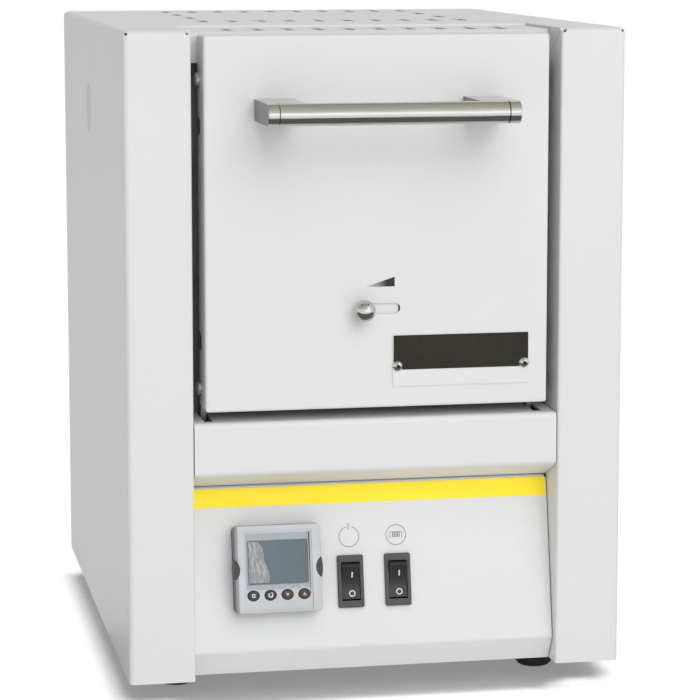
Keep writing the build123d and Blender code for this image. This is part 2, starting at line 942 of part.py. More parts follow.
def make_heater_terminals():
    low = min(z for x, z in tube_places()) - terminal_overhang
    high = max(z for x, z in tube_places()) + terminal_overhang
    strips = []
    for side in (-1, 1):
        x = side * (chamber_half + tube_sunk)
        strip = block(
            (x - terminal_width / 2, x + terminal_width / 2),
            (housing_rear, housing_rear + terminal_depth),
            (low, high),
        )
        for hole in lead_holes(housing_rear + terminal_depth + overcut):
            strip -= hole
        strips.append(strip)
    return strips


def make_exhaust_tube():
    start = (0, chamber_rear, exhaust_height)
    end = (0, rear_face + exhaust_proud, exhaust_height)
    return pipe(start, end, exhaust_diameter, exhaust_bore)


def make_thermocouple():
    x, z = thermocouple_side, thermocouple_height
    sheath_end = (x, housing_rear + overcut, z)
    sheath = rod((x, chamber_rear - thermocouple_reach, z), sheath_end, thermocouple_diameter)
    head_end = housing_rear + thermocouple_head_length
    head = rod((x, housing_rear, z), (x, head_end, z), thermocouple_head_diameter)
    head = chamfer(head.edges().group_by(Axis.Y)[-1], thermocouple_head_chamfer)
    return sheath + head


def make_door_shell():
    outer = block((-door_half, door_half), (0, door_depth), (door_bottom, door_top))
    front_edges = outer.edges().group_by(Axis.Y)[0]
    outer = fillet([*front_edges, *outer.edges().filter_by(Axis.Y)], door_edge_radius)
    shell = outer - block(
        (-flange_inner, flange_inner),
        (door_sheet, door_depth + overcut),
        (door_bottom + door_sheet, door_top - door_sheet),
    )
    for height in notch_heights:
        z = door_bottom + height
        half = notch_height / 2
        outline = Polyline(
            (door_depth + overcut, z - half),
            (door_depth - notch_depth, z - half + notch_slant),
            (door_depth - notch_depth, z + half - notch_slant),
            (door_depth + overcut, z + half),
            close=True,
        )
        notch = extrude(Plane.YZ * make_face(outline.edges()), door_half + overcut, both=True)
        shell -= notch
    for height in side_screw_heights:
        shell -= side_screw_hole(height)
    slot = slot_cutter(slider_slot_length, slider_slot_height, 6 * door_sheet)
    shell -= Pos(0, 0, slider_height) * Rot(90, 0, 0) * slot
    for x in (-handle_end_centre, handle_end_centre):
        shell -= door_front_hole(x, handle_height, m4_diameter + 2 * screw_fit)
    for x, z in name_plate_screw_places():
        shell -= door_front_hole(x, z, m3_diameter + 2 * screw_fit)
    return shell


def door_front_hole(x, z, diameter):
    return rod((x, -overcut, z), (x, door_sheet + overcut, z), diameter)


def side_screw_hole(height):
    z = door_bottom + height
    reach = door_half + overcut
    return rod((-reach, side_screw_set_back, z), (reach, side_screw_set_back, z), m4_diameter + 2 * screw_fit)


def make_door_pan():
    pan = block((-pan_half, pan_half), (pan_set_back, pan_rear), (pan_bottom, pan_top))
    pan -= block(
        (pan_sheet - pan_half, pan_half - pan_sheet),
        (pan_set_back + pan_sheet, pan_rear + overcut),
        (pan_bottom + pan_sheet, pan_top - pan_sheet),
    )
    upper = door_bottom + max(side_screw_heights)
    spacer = block(
        (pan_half - pan_sheet / 2, flange_inner - pan_clearance),
        (side_screw_set_back - m4_diameter, side_screw_set_back + m4_diameter),
        (upper - m4_diameter, upper + m4_diameter),
    )
    for one in both_sides(spacer):
        pan += one
    for height in side_screw_heights:
        pan -= side_screw_hole(height)
    for height in notch_heights:
        pan -= pan_screw_hole(height)
    return pan - air_hole()


def air_hole():
    """The bore that lets air from the slot through the pan and the insulation, into the chamber."""
    start = (slider_rest, pan_set_back - overcut, slider_height)
    end = (slider_rest, chamber_front + plug_reach + overcut, slider_height)
    return rod(start, end, air_hole_diameter)


def pan_screw_hole(height):
    z = door_bottom + height
    reach = pan_half + overcut
    start = (-reach, pan_screw_set_back, z)
    return rod(start, (reach, pan_screw_set_back, z), m3_diameter + 2 * screw_fit)


def make_door_insulation():
    half = pan_half - pan_sheet - block_fit
    low = pan_bottom + pan_sheet + block_fit
    high = pan_top - pan_sheet - block_fit
    rear = chamber_plate_front - door_seal_gap
    body = block((-half, half), (pan_set_back + pan_sheet, rear), (low, high))
    inner_half = chamber_half - plug_side_clearance
    plug = block(
        (-inner_half, inner_half),
        (rear - overcut, chamber_front + plug_reach),
        (chamber_floor + plug_height_clearance, chamber_roof - plug_height_clearance),
    )
    plug = chamfer(plug.edges().group_by(Axis.Y)[-1], plug_chamfer)
    body += plug
    body -= air_hole()
    for height in notch_heights:
        for hole in both_sides(pan_screw_shank(height)):
            body -= hole
    return body


def pan_screw_shank(height):
    z = door_bottom + height
    start = (pan_half - pan_screw_length - overcut, pan_screw_set_back, z)
    return rod(start, (pan_half + overcut, pan_screw_set_back, z), m3_diameter + 2 * screw_fit)


def make_pan_screws():
    screws = []
    for height in notch_heights:
        start = (pan_half, pan_screw_set_back, door_bottom + height)
        screws += both_sides(pan_screw(start, (-1, 0, 0), pan_screw_length, *m3_screw))
    return screws


def make_door_side_screws():
    length = door_half - pan_half + pan_sheet
    screws = []
    for height in side_screw_heights:
        start = (door_half, side_screw_set_back, door_bottom + height)
        screws += both_sides(pan_screw(start, (-1, 0, 0), length, *m4_screw))
    return screws


def make_hinge_arms():
    top = door_bottom + arm_top_height
    foot = door_bottom + arm_foot_height
    leg_front = hinge_set_back + arm_leg_inner
    leg_rear = hinge_set_back + arm_leg_outer
    bar_low = hinge_height - arm_bar_height / 2
    bar_high = hinge_height + arm_bar_height / 2
    outline = Polyline(
        (hinge_set_back, bar_low),
        (leg_rear, bar_low),
        (leg_rear, foot + arm_foot_height),
        (door_depth, top),
        (arm_front_set_back, top),
        (arm_front_set_back, foot),
        (leg_front, foot),
        (leg_front, bar_high),
        (hinge_set_back, bar_high),
        close=True,
    )
    arm = Pos(arm_inner, 0, 0) * extrude(Plane.YZ * make_face(outline.edges()), arm_thickness)
    arm = fillet(arm.edges().filter_by(Axis.X).sort_by(Axis.Y)[-2:], arm_corner_radius)
    hub_start = (arm_inner, hinge_set_back, hinge_height)
    hub_end = (arm_outer, hinge_set_back, hinge_height)
    arm += rod(hub_start, hub_end, 2 * arm_hub_radius)
    arm -= rod(
        (arm_inner - overcut, hinge_set_back, hinge_height),
        (arm_outer + overcut, hinge_set_back, hinge_height),
        bush_diameter + 2 * screw_fit,
    )
    arm -= side_screw_hole(min(side_screw_heights))
    return both_sides(arm)


def make_hinge_bushes():
    y, z = hinge_set_back, hinge_height
    end = arm_outer + bush_flange_thickness
    bush = rod((arm_inner, y, z), (end, y, z), bush_diameter)
    bush += rod((arm_outer, y, z), (end, y, z), bush_flange_diameter)
    bush -= rod((arm_inner - overcut, y, z), (end + overcut, y, z), pin_diameter + 2 * running_fit)
    return both_sides(bush)


def hinge_bracket_range():
    inner = arm_outer + bush_flange_thickness + side_play
    return inner, inner + hinge_bracket_thickness


def stop_pin_place():
    gap = arm_bar_height / 2 + stop_pin_diameter / 2 + side_play
    return hinge_set_back - gap, hinge_height + stop_pin_rise


def make_hinge_brackets():
    low = ledge_top - casing_sheet - hinge_bracket_drop
    bracket = block(
        hinge_bracket_range(),
        (ledge_recess + casing_sheet, hinge_bracket_rear),
        (low, ledge_top - casing_sheet),
    )
    front_top = bracket.edges().filter_by(Axis.X).group_by(Axis.Z)[-1].sort_by(Axis.Y)[0]
    bracket = chamfer(front_top, sheet_bend)
    bracket = fillet(bracket.edges().filter_by(Axis.X).group_by(Axis.Z)[0], hinge_bracket_radius)
    reach = hinge_bracket_range()[1] + overcut
    bracket -= rod((0, hinge_set_back, hinge_height), (reach, hinge_set_back, hinge_height), pin_diameter)
    y, z = stop_pin_place()
    bracket -= rod((0, y, z), (reach, y, z), stop_pin_diameter)
    return both_sides(bracket)


def make_hinge_pins():
    y, z = hinge_set_back, hinge_height
    outer = hinge_bracket_range()[1]
    head = arm_inner - side_play
    pin = rod((head - pin_head_thickness, y, z), (outer, y, z), pin_diameter)
    pin += rod((head - pin_head_thickness, y, z), (head, y, z), pin_head_diameter)
    stop_y, stop_z = stop_pin_place()
    stop = rod((arm_inner - side_play, stop_y, stop_z), (outer, stop_y, stop_z), stop_pin_diameter)
    return both_sides(pin) + both_sides(stop)


def make_handle_tube():
    half = handle_length / 2 - handle_cap_width - handle_joint_gap
    tube = rod((-half, handle_axis, handle_height), (half, handle_axis, handle_height), handle_tube_diameter)
    tube = chamfer(tube.edges().filter_by(GeomType.CIRCLE), handle_edge_chamfer)
    reach = half + overcut
    start, end = (-reach, handle_axis, handle_height), (reach, handle_axis, handle_height)
    return tube - rod(start, end, handle_tube_bore)


def make_handle_ends():
    outer = handle_length / 2
    inner = outer - handle_end_width
    cap_inner = outer - handle_cap_width
    radius = handle_tube_diameter / 2
    arm = block((inner, outer), (handle_axis, 0), (handle_height - radius, handle_height + radius))
    cap = rod(
        (cap_inner, handle_axis, handle_height),
        (outer, handle_axis, handle_height),
        handle_tube_diameter,
    )
    seat = rod(
        (inner - overcut, handle_axis, handle_height),
        (cap_inner, handle_axis, handle_height),
        handle_tube_diameter + 2 * screw_fit,
    )
    end = arm - seat + cap
    end = chamfer(end.edges().filter_by(GeomType.CIRCLE).sort_by(Axis.X)[-1], handle_edge_chamfer)
    end += rod(
        (cap_inner - handle_spigot_length, handle_axis, handle_height),
        (cap_inner, handle_axis, handle_height),
        handle_tube_bore - 2 * screw_fit,
    )
    end -= rod(
        (handle_end_centre, overcut, handle_height),
        (handle_end_centre, -handle_screw_length, handle_height),
        m4_diameter + 2 * screw_fit,
    )
    return both_sides(end)


def make_handle_screws():
    start = (handle_end_centre, door_sheet, handle_height)
    length = handle_screw_length + door_sheet - handle_screw_spare
    return both_sides(pan_screw(start, (0, -1, 0), length, *m4_screw))


def make_air_slider():
    plate = block(
        (slider_rest - slider_plate_left, slider_rest + slider_plate_right),
        (door_sheet + slider_clearance, slider_rear),
        (slider_height - slider_plate_height / 2, slider_height + slider_plate_height / 2),
    )
    plate = fillet(plate.edges().filter_by(Axis.Y), slider_plate_radius)
    return plate - slider_stem(slider_rear + overcut)


def slider_stem(rear):
    end = (slider_rest, -slider_ball_proud, slider_height)
    return rod((slider_rest, rear, slider_height), end, slider_stem_diameter)


def make_slider_knob():
    ball = Pos(slider_rest, -slider_ball_proud, slider_height) * Sphere(slider_ball_diameter / 2)
    return ball + slider_stem(slider_rear)


def make_slider_guides():
    inner = slider_plate_height / 2 - slider_guide_grip
    rear = slider_rear + slider_clearance + slider_plate_thickness
    plate_middle = slider_rest + (slider_plate_right - slider_plate_left) / 2
    start = plate_middle + (slider_travel - slider_guide_length) / 2
    guide = block(
        (start, start + slider_guide_length),
        (door_sheet, rear),
        (slider_height + inner, slider_height + inner + slider_guide_height),
    )
    guide -= block(
        (start - overcut, start + slider_guide_length + overcut),
        (0, slider_rear + slider_clearance),
        (slider_height, slider_height + slider_plate_height / 2 + slider_clearance),
    )
    lower = mirror(guide, about=Plane.XY.offset(slider_height))
    return [guide, lower]


def name_plate_range():
    right = door_half - name_plate_edge_gap
    return right - name_plate_width, right


def name_plate_screw_places():
    left, right = name_plate_range()
    z = door_bottom + name_plate_rise + name_plate_screw_rise
    return [(left + name_plate_screw_inset, z), (right - name_plate_screw_inset, z)]


def make_name_plate():
    low = door_bottom + name_plate_rise
    plate = block(name_plate_range(), (-name_plate_thickness, 0), (low, low + name_plate_height))
    for x, z in name_plate_screw_places():
        start = (x, -name_plate_thickness - overcut, z)
        plate -= rod(start, (x, overcut, z), m3_diameter + 2 * screw_fit)
    return plate


def make_name_plate_screws():
    return [
        dome_screw((x, -name_plate_thickness, z), (0, 1, 0), name_plate_screw_length, *m3_screw)
        for x, z in name_plate_screw_places()
    ]


def make_door_magnet():
    size_x, size_y, size_z = magnet_size
    x = door_half - magnet_from_side
    top = door_top - door_sheet
    return block((x - size_x / 2, x + size_x / 2), (pan_rear - size_y, pan_rear), (top - size_z, top))


def make_reed_switch():
    size_x, size_y, size_z = reed_size
    x = door_half - magnet_from_side
    front = strip_front + casing_sheet
    top = strip_top - casing_sheet - sheet_bend
    return block((x - size_x / 2, x + size_x / 2), (front, front + size_y), (top - size_z, top))


def controller_place(solid):
    across, up = controller_centre
    return on_panel(Pos(across, up, 0) * solid)


def plate_on_panel(size, corner, low, high):
    face = RectangleRounded(size[0], size[1], corner) if corner else Rectangle(*size)
    return Pos(0, 0, low) * extrude(face, high - low)


def make_controller_gasket():
    size = controller_size - 2 * gasket_inset
    gasket = plate_on_panel((size, size), bezel_corner_radius, 0, gasket_thickness)
    hole = controller_case_size + 2 * controller_fit
    return controller_place(gasket - Box(hole, hole, 8 * gasket_thickness))


def button_centres():
    return [((i - (button_count - 1) / 2) * button_pitch, -button_drop) for i in range(button_count)]


def make_controller_bezel():
    top = gasket_thickness + bezel_thickness
    bezel = plate_on_panel((controller_size, controller_size), bezel_corner_radius, gasket_thickness, top)
    bezel = fillet(bezel.faces().sort_by(Axis.Z)[-1].edges(), bezel_edge_radius)
    fascia = plate_on_panel(fascia_size, fascia_corner_radius, fascia_height, top + overcut)
    bezel -= Pos(0, fascia_drop, 0) * fascia
    pocket_floor = fascia_height - window_recess - window_thickness
    pocket_size = [side + 2 * window_fit for side in window_size]
    pocket_radius = window_corner_radius + window_fit
    bezel -= Pos(0, window_rise, 0) * plate_on_panel(pocket_size, pocket_radius, pocket_floor, top + overcut)
    wall_rear = fascia_height - button_wall
    cavity = (button_pitch * button_count, button_size[1] + 2 * (button_flange + button_cavity_margin))
    cavity_rear = gasket_thickness - overcut
    bezel -= Pos(0, -button_drop, 0) * plate_on_panel(cavity, button_cavity_margin, cavity_rear, wall_rear)
    for across, up in button_centres():
        hole = Ellipse(button_size[0] / 2 + button_fit, button_size[1] / 2 + button_fit)
        bezel -= Pos(across, up, 0) * extrude(hole, top + overcut)
    for side in (-1, 1):
        bezel -= latch_ear(side, controller_fit, gasket_thickness - overcut, top + overcut)
    return controller_place(bezel)


def latch_ear(side, margin, low, high):
    edge = side * controller_size / 2
    half = ear_height / 2 + margin
    outer = ThreePointArc((edge, half), (edge + side * (ear_proud + margin), 0), (edge, -half))
    inner = ThreePointArc((edge, -half), (edge - side * (ear_depth + margin), 0), (edge, half))
    lens = make_face([*outer.edges(), *inner.edges()])
    return Pos(0, 0, low) * extrude(lens, amount=high - low, dir=(0, 0, 1))


def make_controller_case():
    size = controller_case_size
    case = plate_on_panel((size, size), controller_case_radius, -controller_case_depth, gasket_thickness)
    for side in (-1, 1):
        case += latch_ear(side, 0, gasket_thickness, gasket_thickness + ear_thickness)
    return controller_place(case)


def make_controller_window():
    top = fascia_height - window_recess
    window = plate_on_panel(window_size, window_corner_radius, top - window_thickness, top)
    return controller_place(Pos(0, window_rise, 0) * window)


def make_button(index):
    across, up = button_centres()[index]
    front = fascia_height + button_proud
    flange_top = fascia_height - button_wall - button_flange_gap
    flange_low = flange_top - button_flange_thickness
    stem_low = gasket_thickness + button_travel + button_floor_gap
    head = Pos(0, 0, stem_low) * extrude(Ellipse(button_size[0] / 2, button_size[1] / 2), front - stem_low)
    head = fillet(head.edges().group_by(Axis.Z)[-1], button_edge_radius)
    flange = Ellipse(button_size[0] / 2 + button_flange, button_size[1] / 2 + button_flange)
    head += Pos(0, 0, flange_low) * extrude(flange, button_flange_thickness)
    return controller_place(Pos(across, up, 0) * head)


def make_rocker_housings():
    housings = []
    body_u, body_v = switch_body_size
    for across, up in rocker_centres:
        frame = plate_on_panel(switch_bezel_size, switch_bezel_radius, 0, switch_bezel_thickness)
        frame = fillet(frame.faces().sort_by(Axis.Z)[-1].edges(), switch_bezel_edge_radius)
        frame += plate_on_panel((body_u, body_v), 0, -switch_body_depth, 0)
        cavity = (rocker_width + 2 * rocker_side_fit, 2 * (rocker_end_radius + rocker_fit))
        mouth = switch_bezel_thickness + overcut
        frame -= plate_on_panel(cavity, switch_cavity_radius, -switch_cavity_depth, mouth)
        reach = rocker_width / 2 + rocker_pin_length + rocker_side_fit
        pivot = -rocker_pivot_depth
        frame -= rod((-reach, 0, pivot), (reach, 0, pivot), rocker_pin_diameter + 2 * rocker_pin_fit)
        housings.append(on_panel(Pos(across, up, 0) * frame))
    return housings


def make_switch_blades():
    blades = []
    size_u, size_v, size_w = blade_size
    for across, up in rocker_centres:
        for step in (-1, 0, 1):
            place = Pos(across, up + step * blade_pitch, -switch_body_depth - size_w / 2)
            blades.append(on_panel(place * Box(size_u, size_v, size_w)))
    return blades


def make_rocker(index):
    across, up = rocker_centres[index]
    pivot = -rocker_pivot_depth
    tip_v = sqrt(rocker_end_radius**2 - (rocker_tip_height - pivot) ** 2)
    under_v = sqrt(rocker_end_radius**2 - (rocker_under + pivot) ** 2)
    right = ThreePointArc((under_v, -rocker_under), (rocker_end_radius, pivot), (tip_v, rocker_tip_height))
    left = ThreePointArc((-tip_v, rocker_tip_height), (-rocker_end_radius, pivot), (-under_v, -rocker_under))
    top = ThreePointArc((tip_v, rocker_tip_height), (0, rocker_waist_height), (-tip_v, rocker_tip_height))
    bottom = Line((-under_v, -rocker_under), (under_v, -rocker_under))
    face = make_face(right.edges() + top.edges() + left.edges() + bottom.edges())
    body = extrude(Plane.YZ * face, rocker_width / 2, both=True)
    body = fillet(body.edges().group_by(Axis.Z)[-1], rocker_edge_radius)
    reach = rocker_width / 2 + rocker_pin_length
    body += rod((-reach, 0, pivot), (reach, 0, pivot), rocker_pin_diameter)
    tilted = Pos(0, 0, pivot) * Rot(rocker_tilt, 0, 0) * Pos(0, 0, -pivot) * body
    return on_panel(Pos(across, up, 0) * tilted)


def make_power_inlet():
    x, z = inlet_centre
    body_x, body_z, body_y = inlet_body
    flange_x, flange_z, flange_y = inlet_flange
    socket_x, socket_z, socket_y = inlet_socket
    inlet = block(
        (x - body_x / 2, x + body_x / 2),
        (rear_face - body_y, rear_face),
        (z - body_z / 2, z + body_z / 2),
    )
    flange = block(
        (x - flange_x / 2, x + flange_x / 2),
        (rear_face, rear_face + flange_y),
        (z - flange_z / 2, z + flange_z / 2),
    )
    flange = fillet(flange.edges().filter_by(Axis.Y), inlet_flange_radius)
    mouth = rear_face + flange_y
    socket = block(
        (x - socket_x / 2, x + socket_x / 2),
        (mouth - socket_y, mouth + overcut),
        (z - socket_z / 2, z + socket_z / 2),
    )
    upper_corners = socket.edges().filter_by(Axis.Y).group_by(Axis.Z)[-1]
    socket = chamfer(upper_corners, inlet_socket_chamfer)
    inlet = inlet + flange - socket
    for screw_x in inlet_screw_places():
        start = (screw_x, mouth + overcut, z)
        inlet -= rod(start, (screw_x, rear_face - overcut, z), m3_diameter + 2 * screw_fit)
    for contact in make_inlet_contacts():
        inlet -= contact
    return inlet


def make_inlet_contacts():
    x, z = inlet_centre
    size_x, size_y, size_z = contact_size
    floor = rear_face + inlet_flange[2] - inlet_socket[2]
    places = [
        (x - contact_pitch / 2, z - contact_live_drop),
        (x + contact_pitch / 2, z - contact_live_drop),
        (x, z + contact_earth_rise),
    ]
    tail = rear_face - inlet_body[2] - size_y / 2
    return [
        block((px - size_x / 2, px + size_x / 2), (tail, floor + size_y), (pz - size_z / 2, pz + size_z / 2))
        for px, pz in places
    ]


def make_inlet_screws():
    start_y = rear_face + inlet_flange[2]
    return [
        pan_screw((x, start_y, inlet_centre[1]), (0, -1, 0), inlet_screw_length, *m3_screw)
        for x in inlet_screw_places()
    ]


def make_fuse_holder():
    x, z = fuse_centre
    body = rod((x, rear_face - fuse_body_length, z), (x, rear_face, z), fuse_body_diameter)
    cap = rod((x, rear_face, z), (x, rear_face + fuse_cap_height, z), fuse_cap_diameter)
    cap = fillet(cap.edges().group_by(Axis.Y)[-1], fuse_cap_radius)
    length, depth, width = fuse_slot
    slot = Pos(x, rear_face + fuse_cap_height, z) * Box(length, 2 * depth, width)
    return body + cap - slot


def make_solid_state_relay():
    size_x, size_y, size_z = relay_size
    x, y = relay_corner
    top = casing_sheet + size_z
    relay = block((x, x + size_x), (y, y + size_y), (casing_sheet, top))
    for start in (y, y + size_y - relay_step_length):
        relay -= block(
            (x - overcut, x + size_x + overcut),
            (start, start + relay_step_length),
            (casing_sheet + relay_step_height, top + overcut),
        )
    return chamfer(relay.edges().filter_by(Axis.Z).group_by(Axis.Y)[0], relay_chamfer)


def make_terminal_block():
    size_x, size_y, size_z = terminal_block_size
    x, y = terminal_block_corner
    top = casing_sheet + size_z
    strip = block((x, x + size_x), (y, y + size_y), (casing_sheet, top))
    for way in range(terminal_ways):
        centre = terminal_way_centre(way)
        for middle in (y + terminal_row_inset, y + size_y - terminal_row_inset):
            start = (centre, middle, terminal_hole_floor)
            strip -= rod(start, (centre, middle, top + overcut), terminal_hole_diameter)
    return strip


def terminal_way_centre(way):
    return terminal_block_corner[0] + (way + 0.5) * terminal_block_size[0] / terminal_ways


def wire(points):
    """A wire along straight runs joined by arcs."""
    path = FilletPolyline(*points, radius=wire_bend)
    section = Plane(origin=path @ 0, z_dir=path % 0) * Circle(wire_diameter / 2)
    return sweep(section, path=path)


def make_wiring_loom():
    block_y = terminal_block_corner[1]
    rear_row = block_y + terminal_block_size[1] - terminal_row_inset
    front_row = block_y + terminal_row_inset
    lead_tip = housing_rear + terminal_depth + lead_end + wire_diameter
    lowest_tube = min(z for x, z in tube_places())
    low, high = heater_wire_heights
    routes = []
    for side, way in zip((-1, 1), heater_wire_ways):
        x = terminal_way_centre(way)
        lead_x = side * (chamber_half + tube_sunk)
        routes.append([
            (x, rear_row, terminal_hole_floor),
            (x, rear_row, low + side * heater_wire_step),
            (lead_x, rear_row + heater_wire_set_back, high + side * heater_wire_step),
            (lead_x, lead_tip, lowest_tube - heater_wire_approach),
            (lead_x, lead_tip, lowest_tube + lead_diameter),
        ])
    x = terminal_way_centre(relay_wire_way)
    relay_x = relay_corner[0] + relay_size[0] / 2
    relay_rear = relay_corner[1] + relay_size[1] - relay_step_length / 2
    routes.append([
        (x, front_row, terminal_hole_floor),
        (x, front_row, relay_wire_height),
        (relay_x, relay_rear, relay_wire_height),
        (relay_x, relay_rear, casing_sheet + relay_step_height),
    ])
    return [wire(route) for route in routes]


nodes = {
    "casing_shell": make_casing_shell(),
    "side_plug": make_side_plug(),
    "top_air_strip": make_top_air_strip(),
    "rear_panel": make_rear_panel(),
    "casing_screws": make_rear_screws() + make_foot_screws(),
    "base_plate": make_base_plate(),
    "rubber_feet": make_rubber_feet(),
    "ledge": make_ledge(),
    "control_panel": make_control_panel(),
    "panel_stripe": make_panel_stripe(),
    "inner_housing": make_inner_housing(),
    "housing_rails": make_housing_rails(),
    "chamber_front_plate": make_chamber_front_plate(),
    "insulation_floor": make_flat_insulation(insulation_bottom, hearth_bottom),
    "insulation_roof": make_flat_insulation(chamber_roof, insulation_top),
    "insulation_sides": [make_insulation_side(-1), make_insulation_side(1)],
    "insulation_rear": make_insulation_rear(),
    "hearth_plate": make_hearth_plate(),
    "quartz_tubes": make_quartz_tubes(),
    "heating_coils": make_heating_coils(),
    "heater_terminals": make_heater_terminals(),
    "exhaust_tube": make_exhaust_tube(),
    "thermocouple": make_thermocouple(),
    "hinge_brackets": make_hinge_brackets(),
    "hinge_pins": make_hinge_pins(),
    "reed_switch": make_reed_switch(),
    "controller_gasket": make_controller_gasket(),
    "controller_bezel": make_controller_bezel(),
    "controller_case": make_controller_case(),
    "controller_window": make_controller_window(),
    "rocker_housings": make_rocker_housings(),
    "switch_blades": make_switch_blades(),
    "power_inlet": make_power_inlet(),
    "inlet_contacts": make_inlet_contacts(),
    "inlet_screws": make_inlet_screws(),
    "fuse_holder": make_fuse_holder(),
    "solid_state_relay": make_solid_state_relay(),
    "terminal_block": make_terminal_block(),
    "wiring_loom": make_wiring_loom(),
    "door_shell": make_door_shell(),
    "door_pan": make_door_pan(),
    "door_insulation": make_door_insulation(),
    "pan_screws": make_pan_screws(),
    "door_screws": make_door_side_screws() + make_handle_screws(),
    "hinge_arms": make_hinge_arms(),
    "hinge_bushes": make_hinge_bushes(),
    "handle_tube": make_handle_tube(),
    "handle_ends": make_handle_ends(),
    "slider_guides": make_slider_guides(),
    "name_plate": make_name_plate(),
    "name_plate_screws": make_name_plate_screws(),
    "door_magnet": make_door_magnet(),
    "air_slider": make_air_slider(),
    "slider_knob": make_slider_knob(),
    "power_rocker": make_rocker(0),
    "heating_rocker": make_rocker(1),
}
button_names = ("page_button", "cycle_button", "down_button", "up_button")
nodes |= {name: make_button(index) for index, name in enumerate(button_names)}

to_origin = Pos(0, front_offset, foot_height)
os.makedirs("parts", exist_ok=True)
for name, made in nodes.items():
    pieces = made if isinstance(made, list) else [made]
    solids = [to_origin * solid for piece in pieces for solid in piece.solids()]
    export_step(Compound(children=solids), f"parts/{name}.step")
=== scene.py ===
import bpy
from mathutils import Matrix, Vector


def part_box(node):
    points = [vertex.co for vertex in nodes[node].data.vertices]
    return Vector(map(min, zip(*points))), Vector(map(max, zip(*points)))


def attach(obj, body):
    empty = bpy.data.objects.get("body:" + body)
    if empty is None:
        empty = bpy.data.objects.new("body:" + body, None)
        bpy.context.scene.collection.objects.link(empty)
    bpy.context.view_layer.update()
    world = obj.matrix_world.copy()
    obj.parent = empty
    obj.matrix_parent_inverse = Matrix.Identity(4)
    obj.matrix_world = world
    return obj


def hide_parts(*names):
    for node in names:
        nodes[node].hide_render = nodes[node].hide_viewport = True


bl_info = {
    "name": "Preheating furnace",
    "version": (1, 0, 0),
    "blender": (4, 5, 0),
    "location": "View3D > Sidebar > Furnace",
    "description": "Finishes, prints, heating spirals and studio of a bench preheating furnace",
    "category": "Object",
}

import math

import bmesh
import bpy
from bpy.props import FloatProperty, FloatVectorProperty, IntProperty, PointerProperty
from mathutils import Matrix, Vector, noise
from mathutils.bvhtree import BVHTree
from mathutils.geometry import tessellate_polygon

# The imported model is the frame: metres, +Z up, the door faces -Y, and the origin is on the floor.
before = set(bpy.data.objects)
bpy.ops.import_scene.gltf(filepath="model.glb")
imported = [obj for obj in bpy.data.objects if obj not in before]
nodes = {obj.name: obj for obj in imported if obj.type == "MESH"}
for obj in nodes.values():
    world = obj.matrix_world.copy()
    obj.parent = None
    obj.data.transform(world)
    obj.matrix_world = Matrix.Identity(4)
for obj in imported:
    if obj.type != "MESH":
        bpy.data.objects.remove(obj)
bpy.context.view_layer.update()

FRONT = Vector((0, -1, 0))
UP = Vector((0, 0, 1))
PANEL_FRONT = Vector((0, -1, 0.2)).normalized()
BUTTONS = ("page_button", "cycle_button", "down_button", "up_button")
ROCKERS = ("power_rocker", "heating_rocker")


# The sizes and colours that a user would change

def maker(kind, **fixed):
    """What makes properties of one kind, each from its name, its description and its default."""
    def make(name, description, default):
        return kind(name=name, description=description, default=default, **fixed)
    return make


# Colours are scene linear, and lengths and points are in metres.
colour = maker(FloatVectorProperty, size=3, min=0, max=1, subtype="COLOR")
point = maker(FloatVectorProperty, size=3, subtype="TRANSLATION", unit="LENGTH")
length = maker(FloatProperty, min=0, precision=5, subtype="DISTANCE", unit="LENGTH")
angle = maker(FloatProperty, subtype="ANGLE", unit="ROTATION")
strength = maker(FloatProperty, min=0)
power = maker(FloatProperty, min=0, unit="POWER")
focal = maker(FloatProperty, min=1, subtype="DISTANCE_CAMERA", unit="CAMERA")
share = maker(FloatProperty)
count = maker(IntProperty, min=4, max=200)


class FurnaceColours(bpy.types.PropertyGroup):
    """Colours of the paint, the plastics, the metals and the prints."""

    casing: colour("Casing", "Powder coat on the casing and the posts", (0.79, 0.79, 0.787))
    door: colour("Door", "Powder coat on the door and the ledge", (0.80, 0.80, 0.81))
    panel: colour("Panel", "Powder coat on the slanted panel", (0.79, 0.80, 0.795))
    stripe: colour("Stripe", "Film along the top of the slanted panel", (1.0, 0.79, 0.016))
    enamel: colour("Enamel", "Dark field of the plate on the door", (0.014, 0.0135, 0.005))
    plate: colour("Plate", "Ground of the plate on the door", (0.80, 0.80, 0.80))
    bezel: colour("Bezel", "Moulded frame of the controller", (0.57, 0.595, 0.62))
    label: colour("Label", "Printed label of the controller", (0.42, 0.45, 0.48))
    display: colour("Display", "Glass of the controller's display", (0.10, 0.14, 0.17))
    film: colour("Film", "Protective film left on the display", (0.36, 0.365, 0.39))
    switch: colour("Switch", "Plastic of the switches, buttons and sockets", (0.028, 0.028, 0.03))
    panel_ink: colour("Panel ink", "Ring symbols over the switches", (0.27, 0.28, 0.29))
    white_ink: colour("White ink", "Marks on the switches and buttons", (0.80, 0.82, 0.85))
    arrow_ink: colour("Arrow ink", "Arrows on two of the buttons", (0.82, 0.47, 0.28))
    plug: colour("Plug", "Round plug in the left flank", (0.60, 0.63, 0.59))
    fibre: colour("Fibre", "Ceramic fibre board of the chamber", (0.84, 0.82, 0.76))


